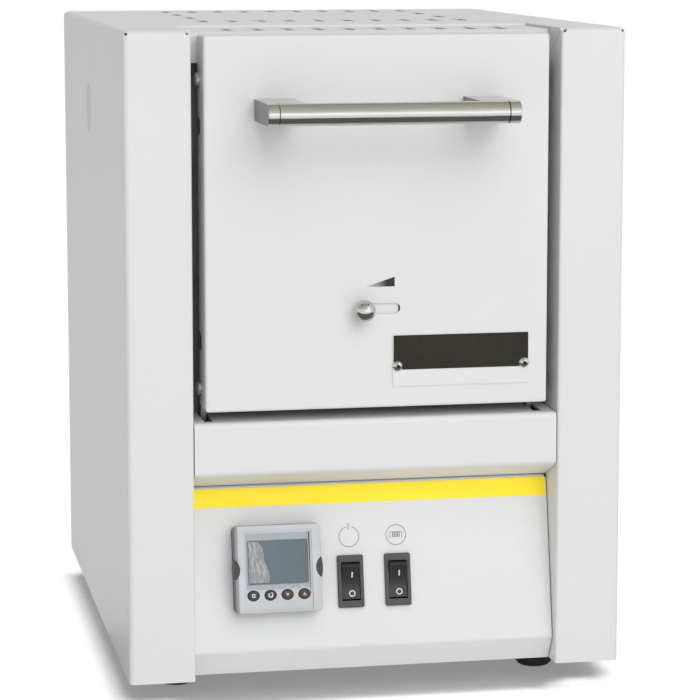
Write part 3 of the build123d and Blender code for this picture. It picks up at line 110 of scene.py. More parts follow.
class FurnacePrints(bpy.types.PropertyGroup):
    """Sizes of what is printed on the panel, the door and the controls."""

    ink: length("Ink thickness", "How far a print stands off its surface", 0.00006)
    ring: length("Ring", "Outer diameter of the two symbols over the switches", 0.0116)
    ring_line: length("Ring line", "Width of the line of those symbols", 0.00042)
    ring_rise: length("Ring rise", "From the middle of a switch up to its symbol", 0.0246)
    mark_line: length("Mark line", "Width of the marks on the rockers", 0.0007)
    mark_bar: length("On mark", "Height of the bar on a rocker", 0.0031)
    mark_ring: length("Off mark", "Outer diameter of the ring on a rocker", 0.0036)
    mark_bar_rise: length("On mark rise", "From the middle of a rocker up to its bar", 0.0036)
    mark_ring_drop: length("Off mark drop", "From the middle of a rocker down to its ring", 0.0068)
    wedge_length: length("Wedge length", "Air wedge over the slider's slot", 0.0154)
    wedge_height: length("Wedge height", "Tall end of the air wedge", 0.0052)
    wedge_side: length("Wedge side", "From the knob's middle to the thin end of the wedge", 0.0028)
    wedge_rise: length("Wedge rise", "From the knob's middle up to the wedge", 0.0120)
    enamel_height: length("Enamel height", "Height of the dark field on the plate", 0.0193)


class FurnaceHeater(bpy.types.PropertyGroup):
    """Sizes of the heating spirals in their quartz tubes."""

    wire: length("Wire", "Diameter of the heating wire", 0.0010)
    turns: count("Turns", "Turns of each spiral", 60)
    twist: length("Twist", "Length of one turn of the doubled lead", 0.0100)
    tube_gap: length("Tube gap", "From a tube's rear end to the end of its spiral", 0.0030)


class FurnaceStage(bpy.types.PropertyGroup):
    """Lamps, cards, floor and camera."""

    ambient: strength("Ambient", "Strength of the surroundings", 0.355)
    bounce: strength("Bounce", "Light that the table throws up", 0.178)
    key: power("Key", "Power of the high lamp", 150.0)
    key_place: point("Key place", "Middle of the high lamp", (1.10, -4.20, 4.80))
    key_size: length("Key size", "Side of the high lamp", 6.0)
    fill: power("Fill", "Power of the low lamp", 54.0)
    fill_place: point("Fill place", "Middle of the low lamp", (0.60, -4.30, 1.85))
    fill_size: length("Fill size", "Side of the low lamp", 3.2)
    aim: point("Aim", "Where both lamps point", (0, 0, 0.20))
    window: strength("Window", "Brightness of the windows that reflections show", 1.65)
    ceiling: colour("Ceiling", "Near end of the ceiling that reflections show", (0.34, 0.33, 0.275))
    ceiling_end: colour("Ceiling's end", "Far end of that ceiling", (0.95, 0.94, 0.87))
    table: colour("Table", "Table in front of the furnace that reflections show", (0.15, 0.147, 0.14))
    contact: length("Contact shadow", "How far the furnace shades the floor beside it", 0.0208)
    camera_place: point("Camera place", "Where the camera stands", (-0.2963, -1.5982, 0.4243))
    camera_tilt: angle("Camera tilt", "How far it looks down", math.radians(7.89))
    camera_turn: angle("Camera turn", "How far it turns to its right", math.radians(10.96))
    camera_shift: share("Camera shift", "Share of the picture's width", -0.06)
    lens: focal("Lens", "Focal length", 141.6)


# Node materials

def toned(shade, tone):
    """A colour made darker or lighter."""
    return tuple(min(1, tone * part) for part in shade)


class Tree:
    """Shader nodes that are made in one node tree."""

    def __init__(self, tree):
        self.tree = tree

    def add(self, kind, settings=(), **values):
        """A node, with its settings and with a value or a link for each named input."""
        made = self.tree.nodes.new("ShaderNode" + kind)
        for key, value in dict(settings).items():
            setattr(made, key, value)
        for key, value in values.items():
            self.feed(made.inputs[key.replace("_", " ")], value)
        return made

    def feed(self, socket, value):
        """Links a socket to another one, or sets its value."""
        if isinstance(value, bpy.types.NodeSocket):
            self.tree.links.new(value, socket)
        else:
            socket.default_value = value

    def between(self, value, low, high, from_low=0.0, from_high=1.0):
        """A value moved from one range to another."""
        made = self.add("MapRange", Value=value)
        for socket, number in zip(made.inputs[1:5], (from_low, from_high, low, high)):
            socket.default_value = number
        return made.outputs[0]

    def result(self, operation, first, second=0.0):
        """The result of an operation on one value or two."""
        made = self.add("Math", {"operation": operation})
        self.feed(made.inputs[0], first)
        self.feed(made.inputs[1], second)
        return made.outputs[0]

    def blend(self, factor, first, second):
        """Two colours, mixed by a factor."""
        made = self.add("Mix", {"data_type": "RGBA"})
        for index, value in ((0, factor), (6, first), (7, second)):
            self.feed(made.inputs[index], (*value, 1) if isinstance(value, tuple) else value)
        return made.outputs[2]

    def seen_directly(self):
        """1 for rays from the camera and for reflected and transmitted ones, 0 for the rest."""
        path = self.add("LightPath").outputs
        seen = self.result("MAXIMUM", path["Is Camera Ray"], path["Is Glossy Ray"])
        return self.result("MAXIMUM", seen, path["Is Transmission Ray"])


class Finish(Tree):
    """A material whose textures lie in the frame's own coordinates, in metres."""

    def __init__(self, name, base, roughness, metallic=0.0, **constants):
        self.base = tuple(base)
        self.material = bpy.data.materials.new(name)
        self.material.use_nodes = True
        self.material.diffuse_color = (*self.base, 1)
        super().__init__(self.material.node_tree)
        self.sockets = self.tree.nodes["Principled BSDF"].inputs
        values = {"Base Color": (*self.base, 1), "Roughness": roughness, "Metallic": metallic}
        for socket, value in (*values.items(), *constants.items()):
            self.sockets[socket.replace("_", " ")].default_value = value
        self.place = self.add("TexCoord").outputs["Object"]
        self.normal = None

    def on(self, *names):
        """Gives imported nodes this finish."""
        for name in names:
            for material_slot in nodes[name].material_slots:
                material_slot.material = self.material

    def along(self, axis):
        """How far along an axis of the frame a point lies."""
        return self.add("SeparateXYZ", Vector=self.place).outputs[axis]

    def facing(self, axis):
        """How far the surface looks along an axis."""
        normal = self.add("NewGeometry").outputs["Normal"]
        return self.add("SeparateXYZ", Vector=normal).outputs[axis]

    def grain(self, scale, detail=2.0, stretch=None, rough=0.5):
        """Smooth noise, spread out to run from about 0 to 1. It can be stretched along each axis."""
        place = self.add("Mapping", Vector=self.place, Scale=stretch).outputs[0] if stretch else self.place
        source = self.add("TexNoise", Vector=place, Scale=scale, Detail=detail, Roughness=rough)
        return self.between(source.outputs[0], 0, 1, 0.32, 0.68)

    def cells(self, scale, output="Distance"):
        """Cells: the distance from their middles, or a colour for each."""
        return self.add("TexVoronoi", Vector=self.place, Scale=scale).outputs[output]

    def paint(self, socket):
        """The surface's own colour."""
        self.feed(self.sockets["Base Color"], socket)

    def vary(self, factor, low, high):
        """The base colour, from a darker tone to a lighter one."""
        self.paint(self.blend(factor, toned(self.base, low), toned(self.base, high)))

    def cover(self, factor, shade, most=1.0):
        """Lays a colour over the one that is there already, as a factor says and up to a share."""
        under = self.sockets["Base Color"].links[0].from_socket
        self.paint(self.blend(self.between(factor, 0, most), under, shade))

    def roughen(self, factor, low, high):
        """Roughness that follows a factor."""
        self.feed(self.sockets["Roughness"], self.between(factor, low, high))

    def bump(self, height, depth, strength=1.0):
        """Relief of a depth in micrometres, over the relief that is there already. It returns the finish."""
        made = self.add("Bump", Height=height, Distance=depth * 1e-6, Strength=strength)
        if self.normal:
            self.feed(made.inputs["Normal"], self.normal)
        self.normal = made.outputs[0]
        self.feed(self.sockets["Normal"], self.normal)
        return self


def powder_coat(name, base):
    """Powder coat: a fine orange peel, faint clouding and specks, glossier where the film lies thick."""
    finish = Finish(name, base, 0.45)
    peel = finish.grain(850, 3)
    finish.vary(finish.grain(9, 3), 0.988, 1.008)
    finish.cover(finish.between(finish.cells(1400), 1, 0, 0.05, 0.16), toned(base, 0.93), 0.5)
    finish.roughen(peel, 0.40, 0.52)
    finish.bump(finish.grain(120), 40)
    return finish.bump(peel, 18)


def galvanised_sheet(name):
    """Galvanised steel: flat crystals of different greys, with rolled streaks under them."""
    finish = Finish(name, (0.56, 0.57, 0.58), 0.42, 0.9)
    grey = finish.add("RGBToBW", Color=finish.cells(120, "Color")).outputs[0]
    streaks = finish.grain(160, 3, (1, 14, 14))
    finish.vary(grey, 0.80, 1.12)
    finish.cover(streaks, (0.44, 0.45, 0.47), 0.35)
    finish.roughen(grey, 0.30, 0.52)
    finish.bump(finish.cells(120), 30)
    return finish.bump(streaks, 10)


def brushed_steel(name, base, along, roughness=(0.26, 0.40)):
    """Stainless steel brushed along one axis: long fine scratches and a few broad ones."""
    finish = Finish(name, base, 0.33, 1.0)
    scratches = finish.grain(1, 3, tuple(40 if axis == along else 2600 for axis in "XYZ"))
    bands = finish.grain(1, 2, tuple(8 if axis == along else 420 for axis in "XYZ"))
    finish.vary(scratches, 0.88, 1.06)
    finish.cover(bands, toned(base, 0.93), 0.6)
    finish.roughen(scratches, *roughness)
    return finish.bump(scratches, 6)


def darkened_steel(name, tone=1.0):
    """Stainless sheet that heat has darkened, with brown and blue tints in its clouds."""
    steel, soot, brown, blue = (toned(shade, tone) for shade in (
        (0.085, 0.083, 0.08), (0.06, 0.06, 0.058), (0.11, 0.095, 0.075), (0.07, 0.078, 0.095)
    ))
    finish = Finish(name, steel, 0.5, 0.55)
    tints = finish.blend(finish.grain(9), brown, blue)
    finish.paint(finish.blend(finish.grain(22, 4), soot, tints))
    finish.roughen(finish.grain(60, 3), 0.42, 0.66)
    return finish.bump(finish.grain(700, 3, (1, 1, 6)), 10)


def ends_with_painted_side_shade(name, base, joint):
    """End pieces of brushed steel: faces that look sideways are duller and painted darker, a painted shade
    that stands for the shaded door they reflect, and a dark line lies at the joint with the tube, a distance
    from the middle of the handle."""
    finish = Finish(name, base, 0.2, 1.0)
    scratches = finish.grain(1, 3, (40, 2600, 2600))
    dull_and_painted_dark_sides = finish.between(finish.result("ABSOLUTE", finish.facing("X")), 0, 1, 0.6, 0.9)
    outward = finish.result("ABSOLUTE", finish.along("X"))
    off = finish.result("ABSOLUTE", finish.result("SUBTRACT", outward, joint))
    finish.vary(scratches, 0.90, 1.05)
    # Painted shade: the sideways faces get a darker colour that stands for the shade they reflect.
    finish.cover(dull_and_painted_dark_sides, (0.24, 0.24, 0.235))
    finish.cover(finish.between(off, 1, 0, 0.00015, 0.00035), (0.03, 0.03, 0.03))
    finish.roughen(dull_and_painted_dark_sides, 0.17, 0.42)
    return finish.bump(scratches, 6)


def polished_chrome(name, base):
    """Polished chrome with faint smears."""
    finish = Finish(name, base, 0.09, 1.0)
    smears = finish.grain(260, 4, (1, 1, 2.4))
    finish.vary(smears, 0.96, 1.02)
    finish.roughen(smears, 0.05, 0.14)
    return finish.bump(finish.grain(900), 2)


def zinc_plate(name):
    """Zinc-plated steel: bluish, with a faint yellow bloom and a turned grain."""
    finish = Finish(name, (0.56, 0.56, 0.57), 0.36, 0.95)
    finish.paint(finish.blend(finish.grain(240, 3), (0.50, 0.51, 0.54), (0.60, 0.58, 0.52)))
    finish.roughen(finish.grain(1500), 0.28, 0.46)
    return finish.bump(finish.grain(2400), 8)


def moulded_plastic(name, base, roughness=(0.36, 0.52)):
    """Moulded plastic with a spark-eroded grain and slight flow marks."""
    finish = Finish(name, base, 0.45)
    grain = finish.grain(2600)
    finish.vary(finish.grain(35, 3), 0.95, 1.06)
    finish.roughen(grain, *roughness)
    return finish.bump(grain, 12)


def bezel_plastic_painted_shade(name, base, side, edge):
    """Moulded plastic of the controller's frame, with painted shade: its left side, a band beside that edge
    and its upper faces are painted darker, as shade.
    """
    finish = moulded_plastic(name, base, (0.34, 0.46))
    left = finish.between(finish.facing("X"), 1, 0, -0.9, -0.4)
    painted_top_shade = finish.between(finish.facing("Z"), 0, 0.7, 0.8, 0.97)
    painted_edge_shade = finish.between(finish.along("X"), 0.62, 0, edge + 0.0016, edge + 0.0024)
    # Painted shade: the side colour lies over the faces that look left or up and over the band beside the
    # left edge.
    finish.cover(finish.result("MAXIMUM", finish.result("MAXIMUM", left, painted_top_shade), painted_edge_shade), side)
    return finish


def black_rubber(name):
    """Black rubber with a dull bloom and dust in its pores."""
    finish = Finish(name, (0.020, 0.020, 0.023), 0.75)
    bloom = finish.grain(130, 4)
    finish.paint(finish.blend(bloom, (0.016, 0.016, 0.018), (0.034, 0.034, 0.037)))
    finish.roughen(bloom, 0.62, 0.86)
    return finish.bump(finish.grain(2100, 3), 30)


def fibre_board(name, base):
    """Ceramic fibre board: short matted fibres, soft pits and a faint scorch."""
    finish = Finish(name, base, 0.95, Specular_IOR_Level=0.15)
    fibres = finish.grain(420, 5, (1, 3.2, 1.3), 0.7)
    finish.vary(fibres, 0.90, 1.05)
    finish.cover(finish.grain(14, 3), (0.66, 0.60, 0.50), 0.35)
    finish.bump(fibres, 220)
    return finish.bump(finish.grain(90, 3), 300, 0.6)


def fired_ceramic(name):
    """Unglazed technical ceramic with iron specks and a grain that shows in raking light."""
    finish = Finish(name, (0.76, 0.72, 0.63), 0.62)
    finish.vary(finish.grain(60, 3), 0.93, 1.05)
    finish.cover(finish.between(finish.cells(900), 1, 0, 0.04, 0.13), (0.36, 0.27, 0.18), 0.8)
    finish.roughen(finish.grain(500, 3), 0.52, 0.74)
    return finish.bump(finish.grain(1500, 3), 30)


def quartz_glass(name):
    """Clear fused quartz with drawn streaks."""
    finish = Finish(name, (0.93, 0.95, 0.96), 0.06, Transmission_Weight=0.92, IOR=1.46)
    streaks = finish.grain(300, 3, (1, 0.06, 1))
    finish.vary(streaks, 0.96, 1.02)
    finish.roughen(streaks, 0.03, 0.16)
    return finish.bump(streaks, 10)


def oxidised_wire(name):
    """Heating wire with a grey-brown skin of oxide."""
    finish = Finish(name, (0.16, 0.14, 0.125), 0.6, 0.6)
    skin = finish.grain(700, 4)
    finish.paint(finish.blend(skin, (0.11, 0.10, 0.095), (0.24, 0.20, 0.16)))
    finish.roughen(skin, 0.5, 0.72)
    return finish.bump(skin, 20)


def plain_brass(name):
    """Brass with a light tarnish."""
    finish = Finish(name, (0.68, 0.50, 0.23), 0.32, 1.0)
    tarnish = finish.grain(180, 4)
    finish.paint(finish.blend(tarnish, (0.70, 0.53, 0.26), (0.50, 0.35, 0.15)))
    finish.roughen(tarnish, 0.24, 0.46)
    return finish.bump(finish.grain(1600), 8)


def fluorescent_film_painted_glow(name, base, glow):
    """Fluorescent film: an even colour with a painted glow, the same under any light, standing for its
    fluorescence, and ripples where it is glued.
    """
    # Painted glow: a faint emission makes the film brighter than its lighting alone.
    painted_glow = {"Emission_Color": (*glow, 1), "Emission_Strength": 0.13}
    finish = Finish(name, base, 0.35, Coat_Weight=0.1, Coat_Roughness=0.3, **painted_glow)
    ripples = finish.grain(70, 2, (0.4, 1, 1))
    finish.vary(finish.grain(900), 0.985, 1.01)
    finish.roughen(ripples, 0.30, 0.42)
    return finish.bump(ripples, 30)


def fired_enamel(name, base):
    """Dark enamel with a faint ripple, a little gloss and a cloudy shade."""
    finish = Finish(name, base, 0.26, Specular_IOR_Level=0.25, Coat_Weight=0.05, Coat_Roughness=0.12)
    finish.vary(finish.grain(30, 3), 0.85, 1.35)
    finish.roughen(finish.grain(1200), 0.20, 0.34)
    return finish.bump(finish.grain(260), 20)


def screen_ink(name, base):
    """Screen-printed ink: matt, with the mesh of the screen just showing."""
    finish = Finish(name, base, 0.6)
    mesh = finish.grain(5200, 1)
    finish.vary(mesh, 0.92, 1.06)
    finish.roughen(mesh, 0.5, 0.7)
    return finish.bump(mesh, 4)


def fading_ink(name, base, pale, start, end):
    """Screen-printed ink that fades along X, from its pale end to its full end."""
    finish = Finish(name, base, 0.55)
    dots = finish.grain(5200, 1)
    finish.vary(dots, 0.9, 1.1)
    finish.cover(finish.between(finish.along("X"), 1, 0, start, end), pale)
    finish.roughen(dots, 0.5, 0.68)
    return finish


def display_glass(name, base):
    """Glass over a switched-off display: smooth, with a faint cloud of the layer behind it."""
    finish = Finish(name, base, 0.14)
    finish.vary(finish.grain(60, 3, (1, 1, 0.6)), 0.94, 1.07)
    finish.roughen(finish.grain(140, 3), 0.10, 0.20)
    return finish.bump(finish.grain(90), 10)


def creased_film(name, base):
    """Thin protective film: cloudy, with bright creases."""
    finish = Finish(name, base, 0.3, Alpha=0.72, Coat_Weight=0.3, Coat_Roughness=0.2)
    creases = finish.grain(420, 4, (1.6, 1, 0.45), 0.65)
    bright = finish.between(creases, 0, 1, 0.45, 0.95)
    finish.paint(finish.blend(bright, finish.base, (0.66, 0.66, 0.70)))
    finish.roughen(creases, 0.22, 0.45)
    return finish.bump(creases, 120)


def silicone_wire(name, base):
    """Silicone-covered wire with a braided sleeve showing through its skin."""
    finish = Finish(name, base, 0.55)
    wave = {"bands_direction": "DIAGONAL"}
    braid = finish.add("TexWave", wave, Vector=finish.place, Scale=260, Distortion=1.5).outputs["Fac"]
    finish.vary(braid, 0.82, 1.12)
    finish.roughen(braid, 0.45, 0.65)
    return finish.bump(braid, 30)


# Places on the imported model

def middle(name):
    """The middle of a node's box."""
    low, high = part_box(name)
    return (low + high) / 2


def axes_on(normal, origin):
    """A place with X across, Y up the surface and Z out of it."""
    across = UP.cross(normal).normalized()
    place = Matrix((across, normal.cross(across), normal)).transposed().to_4x4()
    place.translation = origin
    return place


def surface_of(name):
    """A node's surface, for rays."""
    mesh = nodes[name].data
    return BVHTree.FromPolygons([v.co for v in mesh.vertices], [face.vertices for face in mesh.polygons])


def box_round(points):
    """The low and the high corner of the box round some points."""
    return [Vector([pick(p[axis] for p in points) for axis in range(3)]) for pick in (min, max)]


def flat_face(name, toward, at=None):
    """The flat face of a node that a ray meets over the node's middle, or over a point: its place, with the
    origin in the middle of the face, and its width and height."""
    mesh = nodes[name].data
    aim = (at or middle(name)) + 0.1 * toward
    foot, normal, _, _ = surface_of(name).ray_cast(aim, -toward)
    level = normal.dot(foot)
    place = axes_on(normal, foot)
    inward = place.inverted()
    low, high = box_round([
        inward @ mesh.vertices[i].co
        for face in mesh.polygons
        if face.normal.dot(normal) > 0.9999 and abs(face.center.dot(normal) - level) < 5e-5
        for i in face.vertices
    ])
    place.translation = place @ ((low + high) / 2)
    return place, high.x - low.x, high.y - low.y


def beside(place, point):
    """The same surface, with its origin under or over a point."""
    local = place.inverted() @ point
    return shifted(place, local.x, local.y)


def shifted(place, across, up):
    """The same surface, with its origin moved along it."""
    return place @ Matrix.Translation((across, up, 0))


def loose_boxes(name):
    """The boxes of a node's separate solids, from left to right and from low to high."""
    shape = bmesh.new()
    shape.from_mesh(nodes[name].data)
    bmesh.ops.remove_doubles(shape, verts=shape.verts, dist=1e-6)
    unseen = set(shape.verts)
    boxes = []
    while unseen:
        reached = [unseen.pop()]
        for corner in reached:
            for edge in corner.link_edges:
                other = edge.other_vert(corner)
                if other in unseen:
                    unseen.discard(other)
                    reached.append(other)
        boxes.append(box_round([corner.co for corner in reached]))
    shape.free()
    return sorted(boxes, key=lambda box: tuple(box[0]))


# Making new pieces

def put(name, data, place=(0, 0, 0)):
    """An object in the scene, at a place."""
    made = bpy.data.objects.new(name, data)
    made.location = place
    bpy.context.scene.collection.objects.link(made)
    return made


def new_piece(name, shape, finish, body, smooth=math.radians(35)):
    """A piece in the scene that rides on a body. Edges that bend by more than the smooth angle stay sharp."""
    mesh = bpy.data.meshes.new(name)
    shape.to_mesh(mesh)
    shape.free()
    mesh.materials.append(finish.material)
    mesh.shade_smooth()
    mesh.set_sharp_from_angle(angle=smooth)
    piece = put(name, mesh)
    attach(piece, body)
    return piece


def arc(centre, wide, tall, start, end, steps):
    """Points along the edge of an ellipse, between two angles."""
    turns = [start + (end - start) * i / steps for i in range(steps + 1)]
    return [(centre[0] + wide * math.cos(turn), centre[1] + tall * math.sin(turn)) for turn in turns]


def round_outline(radius, tall=None, centre=(0, 0), steps=40):
    """A circle, or an ellipse where a second radius is given."""
    return arc(centre, radius, tall or radius, 0, math.tau, steps)[:-1]


def box_outline(width, height, corner=0.0, centre=(0, 0)):
    """A rectangle, with rounded corners where a radius is given."""
    points = []
    for quarter, (x, y) in enumerate(((1, 1), (-1, 1), (-1, -1), (1, -1))):
        inner = (centre[0] + x * (width / 2 - corner), centre[1] + y * (height / 2 - corner))
        start = quarter * math.pi / 2
        points += arc(inner, corner, corner, start, start + math.pi / 2, 5) if corner else [inner]
    return points


def arc_outline(radius, line, start, end, steps):
    """A band along an arc, between two angles in degrees."""
    outer, inner = (
        arc((0, 0), reach, reach, math.radians(start), math.radians(end), steps)
        for reach in (radius + line / 2, radius - line / 2)
    )
    return outer + inner[::-1]


def ring_shape(diameter, line, centre=(0, 0), steps=56):
    """A closed ring: its outline and its hole."""
    return [round_outline(radius, None, centre, steps) for radius in (diameter / 2, diameter / 2 - line)]


def layer(shapes, place, thickness, over=None):
    """A thin closed layer on a surface. Each shape is an outline followed by its holes, and a layer over a
    curved surface has its corners dropped on it."""
    made = bmesh.new()
    root = thickness / 3
    for loops in shapes:
        corners = [corner for loop in loops for corner in loop]
        low = [made.verts.new((x, y, -root)) for x, y in corners]
        high = [made.verts.new((x, y, thickness)) for x, y in corners]
        for triangle in tessellate_polygon([[Vector((x, y, 0)) for x, y in loop] for loop in loops]):
            made.faces.new([high[i] for i in triangle])
            made.faces.new([low[i] for i in reversed(triangle)])
        first = 0
        for loop in loops:
            for i in range(len(loop)):
                here, after = first + i, first + (i + 1) % len(loop)
                made.faces.new((low[here], low[after], high[after], high[here]))
            first += len(loop)
    bmesh.ops.recalc_face_normals(made, faces=made.faces)
    inward = -place.col[2].xyz
    reach = 0.02
    for corner in made.verts:
        rise = corner.co.z
        foot = place @ Vector((corner.co.x, corner.co.y, 0))
        if over:
            foot = over.ray_cast(foot - inward * reach, inward, 2 * reach)[0] or foot
        corner.co = foot - inward * rise
    return made


def wire(points, radius, sides, made):
    """Adds a round wire along points, with flat ends, to a shape."""
    heading = (points[1] - points[0]).normalized()
    side = heading.orthogonal().normalized()
    rings = []
    for index, point in enumerate(points):
        ahead = points[min(index + 1, len(points) - 1)] - points[max(index - 1, 0)]
        turned = ahead.normalized()
        side = heading.rotation_difference(turned) @ side
        side = (side - turned * side.dot(turned)).normalized()
        heading = turned
        other = heading.cross(side)
        rings.append([
            made.verts.new(point + radius * (side * math.cos(turn) + other * math.sin(turn)))
            for turn in (math.tau * k / sides for k in range(sides))
        ])
    for near, far in zip(rings, rings[1:]):
        for k in range(sides):
            after = (k + 1) % sides
            made.faces.new((near[k], near[after], far[after], far[k]))
    made.faces.new(rings[0][::-1])
    made.faces.new(rings[-1])


class FURNACE_OT_casing(bpy.types.Operator):
    """Finish the casing, the ledge, the plug, the feet and the sheet-metal frame"""

    bl_idname = "furnace.casing"
    bl_label = "Casing"

    def execute(self, context):
        colours = context.scene.furnace_colours
        powder_coat("casing_coat", colours.casing).on("casing_shell", "top_air_strip", "rear_panel")
        powder_coat("ledge_coat", colours.door).on("ledge")
        moulded_plastic("plug_moulding", colours.plug).on("side_plug")
        zinc_plate("casing_screw_zinc").on("casing_screws")
        black_rubber("foot_rubber").on("rubber_feet")
        galvanised = galvanised_sheet("frame_galvanised")
        galvanised.on("base_plate", "inner_housing", "housing_rails", "hinge_brackets")
        return {"FINISHED"}


class FURNACE_OT_door(bpy.types.Operator):
    """Finish the flap door, its pan, insulation, hinge arms and screws, and lay the enamel on its plate"""

    bl_idname = "furnace.door"
    bl_label = "Door"

    def execute(self, context):
        colours = context.scene.furnace_colours
        prints = context.scene.furnace_prints
        powder_coat("door_coat", colours.door).on("door_shell")
        darkened_steel("pan_steel").on("door_pan")
        fibre_board("door_fibre", colours.fibre).on("door_insulation")
        zinc_plate("door_screw_zinc").on("door_screws", "pan_screws", "slider_guides")
        brushed_steel("arm_steel", (0.34, 0.34, 0.34), "Z", (0.34, 0.5)).on("hinge_arms", "hinge_pins")
        plain_brass("bush_brass").on("hinge_bushes")
        polished_chrome("magnet_nickel", (0.55, 0.54, 0.51)).on("door_magnet")
        polished_chrome("dome_chrome", (0.62, 0.62, 0.62)).on("name_plate_screws")
        powder_coat("plate_coat", colours.plate).on("name_plate")
        place, width, height = flat_face("name_plate", FRONT)
        edge = 0.0004
        corner = 0.0005
        field = box_outline(width - 2 * edge, prints.enamel_height - edge, corner)
        place = shifted(place, 0, (height - prints.enamel_height - edge) / 2)
        enamel = fired_enamel("plate_dark_enamel", colours.enamel)
        new_piece("plate_enamel", layer([[field]], place, 2 * prints.ink), enamel, "door")
        return {"FINISHED"}


class FURNACE_OT_handle(bpy.types.Operator):
    """Finish the bar handle and its two end brackets"""

    bl_idname = "furnace.handle"
    bl_label = "Handle"

    def execute(self, context):
        steel = (0.60, 0.585, 0.56)
        brushed_steel("handle_steel", steel, "X", (0.12, 0.20)).on("handle_tube")
        # The end pieces carry painted shade on their sideways faces.
        ends_with_painted_side_shade("end_steel_painted_shade", steel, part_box("handle_tube")[1].x).on("handle_ends")
        return {"FINISHED"}


class FURNACE_OT_air_slider(bpy.types.Operator):
    """Finish the air slider and its ball knob, and print the air wedge over its slot"""

    bl_idname = "furnace.air_slider"
    bl_label = "Air slider"

    def execute(self, context):
        colours = context.scene.furnace_colours
        prints = context.scene.furnace_prints
        powder_coat("slider_coat", colours.panel).on("air_slider")
        polished_chrome("knob_chrome", (0.55, 0.55, 0.54)).on("slider_knob")
        place = beside(flat_face("door_shell", FRONT)[0], middle("slider_knob"))
        start = prints.wedge_side
        end = start + prints.wedge_length
        low = prints.wedge_rise
        thin_end = 0.0003
        wedge = [(start, low), (end, low), (end, low + prints.wedge_height), (start, low + thin_end)]
        knob = place.translation.x
        full = knob + 0.75 * end
        ink = fading_ink("wedge_ink", (0.018, 0.018, 0.018), (0.62, 0.62, 0.60), knob + start, full)
        new_piece("air_wedge", layer([[wedge]], place, prints.ink), ink, "door")
        return {"FINISHED"}


class FURNACE_OT_panel(bpy.types.Operator):
    """Finish the slanted panel and its stripe, and print the ring symbols over the switches"""

    bl_idname = "furnace.control_panel"
    bl_label = "Slanted panel"

    def execute(self, context):
        colours = context.scene.furnace_colours
        prints = context.scene.furnace_prints
        powder_coat("panel_coat", colours.panel).on("control_panel")
        # The stripe's film carries a painted glow.
        fluorescent_film_painted_glow("stripe_film", colours.stripe, (1.0, 0.72, 0.0)).on("panel_stripe")
        ink = screen_ink("symbol_ink", colours.panel_ink)
        panel = flat_face("control_panel", PANEL_FRONT)[0]
        symbols = (("power_symbol", power_symbol(prints)), ("heating_symbol", heating_symbol(prints)))
        for switch, (name, shapes) in zip(ROCKERS, symbols):
            place = shifted(beside(panel, middle(switch)), 0, prints.ring_rise)
            new_piece(name, layer(shapes, place, prints.ink), ink, "casing")
        return {"FINISHED"}


def power_symbol(prints):
    """An open ring with a bar through its gap."""
    line = prints.ring_line
    radius = (prints.ring - line) / 2
    gap = 17
    offset = 0.02 * prints.ring
    bar = box_outline(1.15 * line, 0.31 * prints.ring, 0.4 * line, (-offset, radius + offset))
    return [[arc_outline(radius, line, 90 + gap, 450 - gap, 56)], [bar]]


def heating_symbol(prints):
    """A ring round a heating coil: a hatched block with a loop and a leg at each side."""
    line = 0.8 * prints.ring_line
    width, height = 0.40 * prints.ring, 0.24 * prints.ring
    rise = 0.03 * prints.ring
    reach = 0.29 * prints.ring
    leg = height + 0.09 * prints.ring
    bars = 5
    pitch = width / bars
    shapes = [ring_shape(prints.ring, prints.ring_line)]
    for index in range(bars):
        x = (index - (bars - 1) / 2) * pitch
        shapes.append([box_outline(0.66 * pitch, height, centre=(x, rise))])
    for edge in (-1, 1):
        shapes.append([box_outline(width, 0.7 * line, centre=(0, rise + edge * height / 2))])
    top = rise + height / 2
    span = reach - width / 2
    for side in (-1, 1):
        shapes.append([box_outline(span, line, centre=(side * (width / 2 + span / 2), top))])
        shapes.append([box_outline(line, leg, centre=(side * reach, top - leg / 2))])
    return shapes


class FURNACE_OT_controller(bpy.types.Operator):
    """Finish the panel controller, and make its label, window frame, creased film and button marks"""

    bl_idname = "furnace.controller"
    bl_label = "Controller"

    def execute(self, context):
        colours = context.scene.furnace_colours
        prints = context.scene.furnace_prints
        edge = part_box("controller_bezel")[0].x
        # The third colour is the painted shade on the bezel's left side, its upper faces and the band beside
        # its left edge.
        bezel_plastic_painted_shade("bezel_moulding_painted_shade", colours.bezel, (0.12, 0.125, 0.13), edge).on("controller_bezel")
        moulded_plastic("button_moulding", toned(colours.switch, 1.6)).on("controller_case", *BUTTONS)
        black_rubber("gasket_rubber").on("controller_gasket")
        display_glass("display_pane", colours.display).on("controller_window")
        over_buttons = middle("controller_window").lerp(middle(BUTTONS[1]), 0.7)
        fascia = flat_face("controller_bezel", PANEL_FRONT, over_buttons)
        glass = flat_face("controller_window", PANEL_FRONT)
        make_label(colours, prints, *fascia, *glass)
        make_film(colours, *glass)
        mark_buttons(colours, prints)
        return {"FINISHED"}


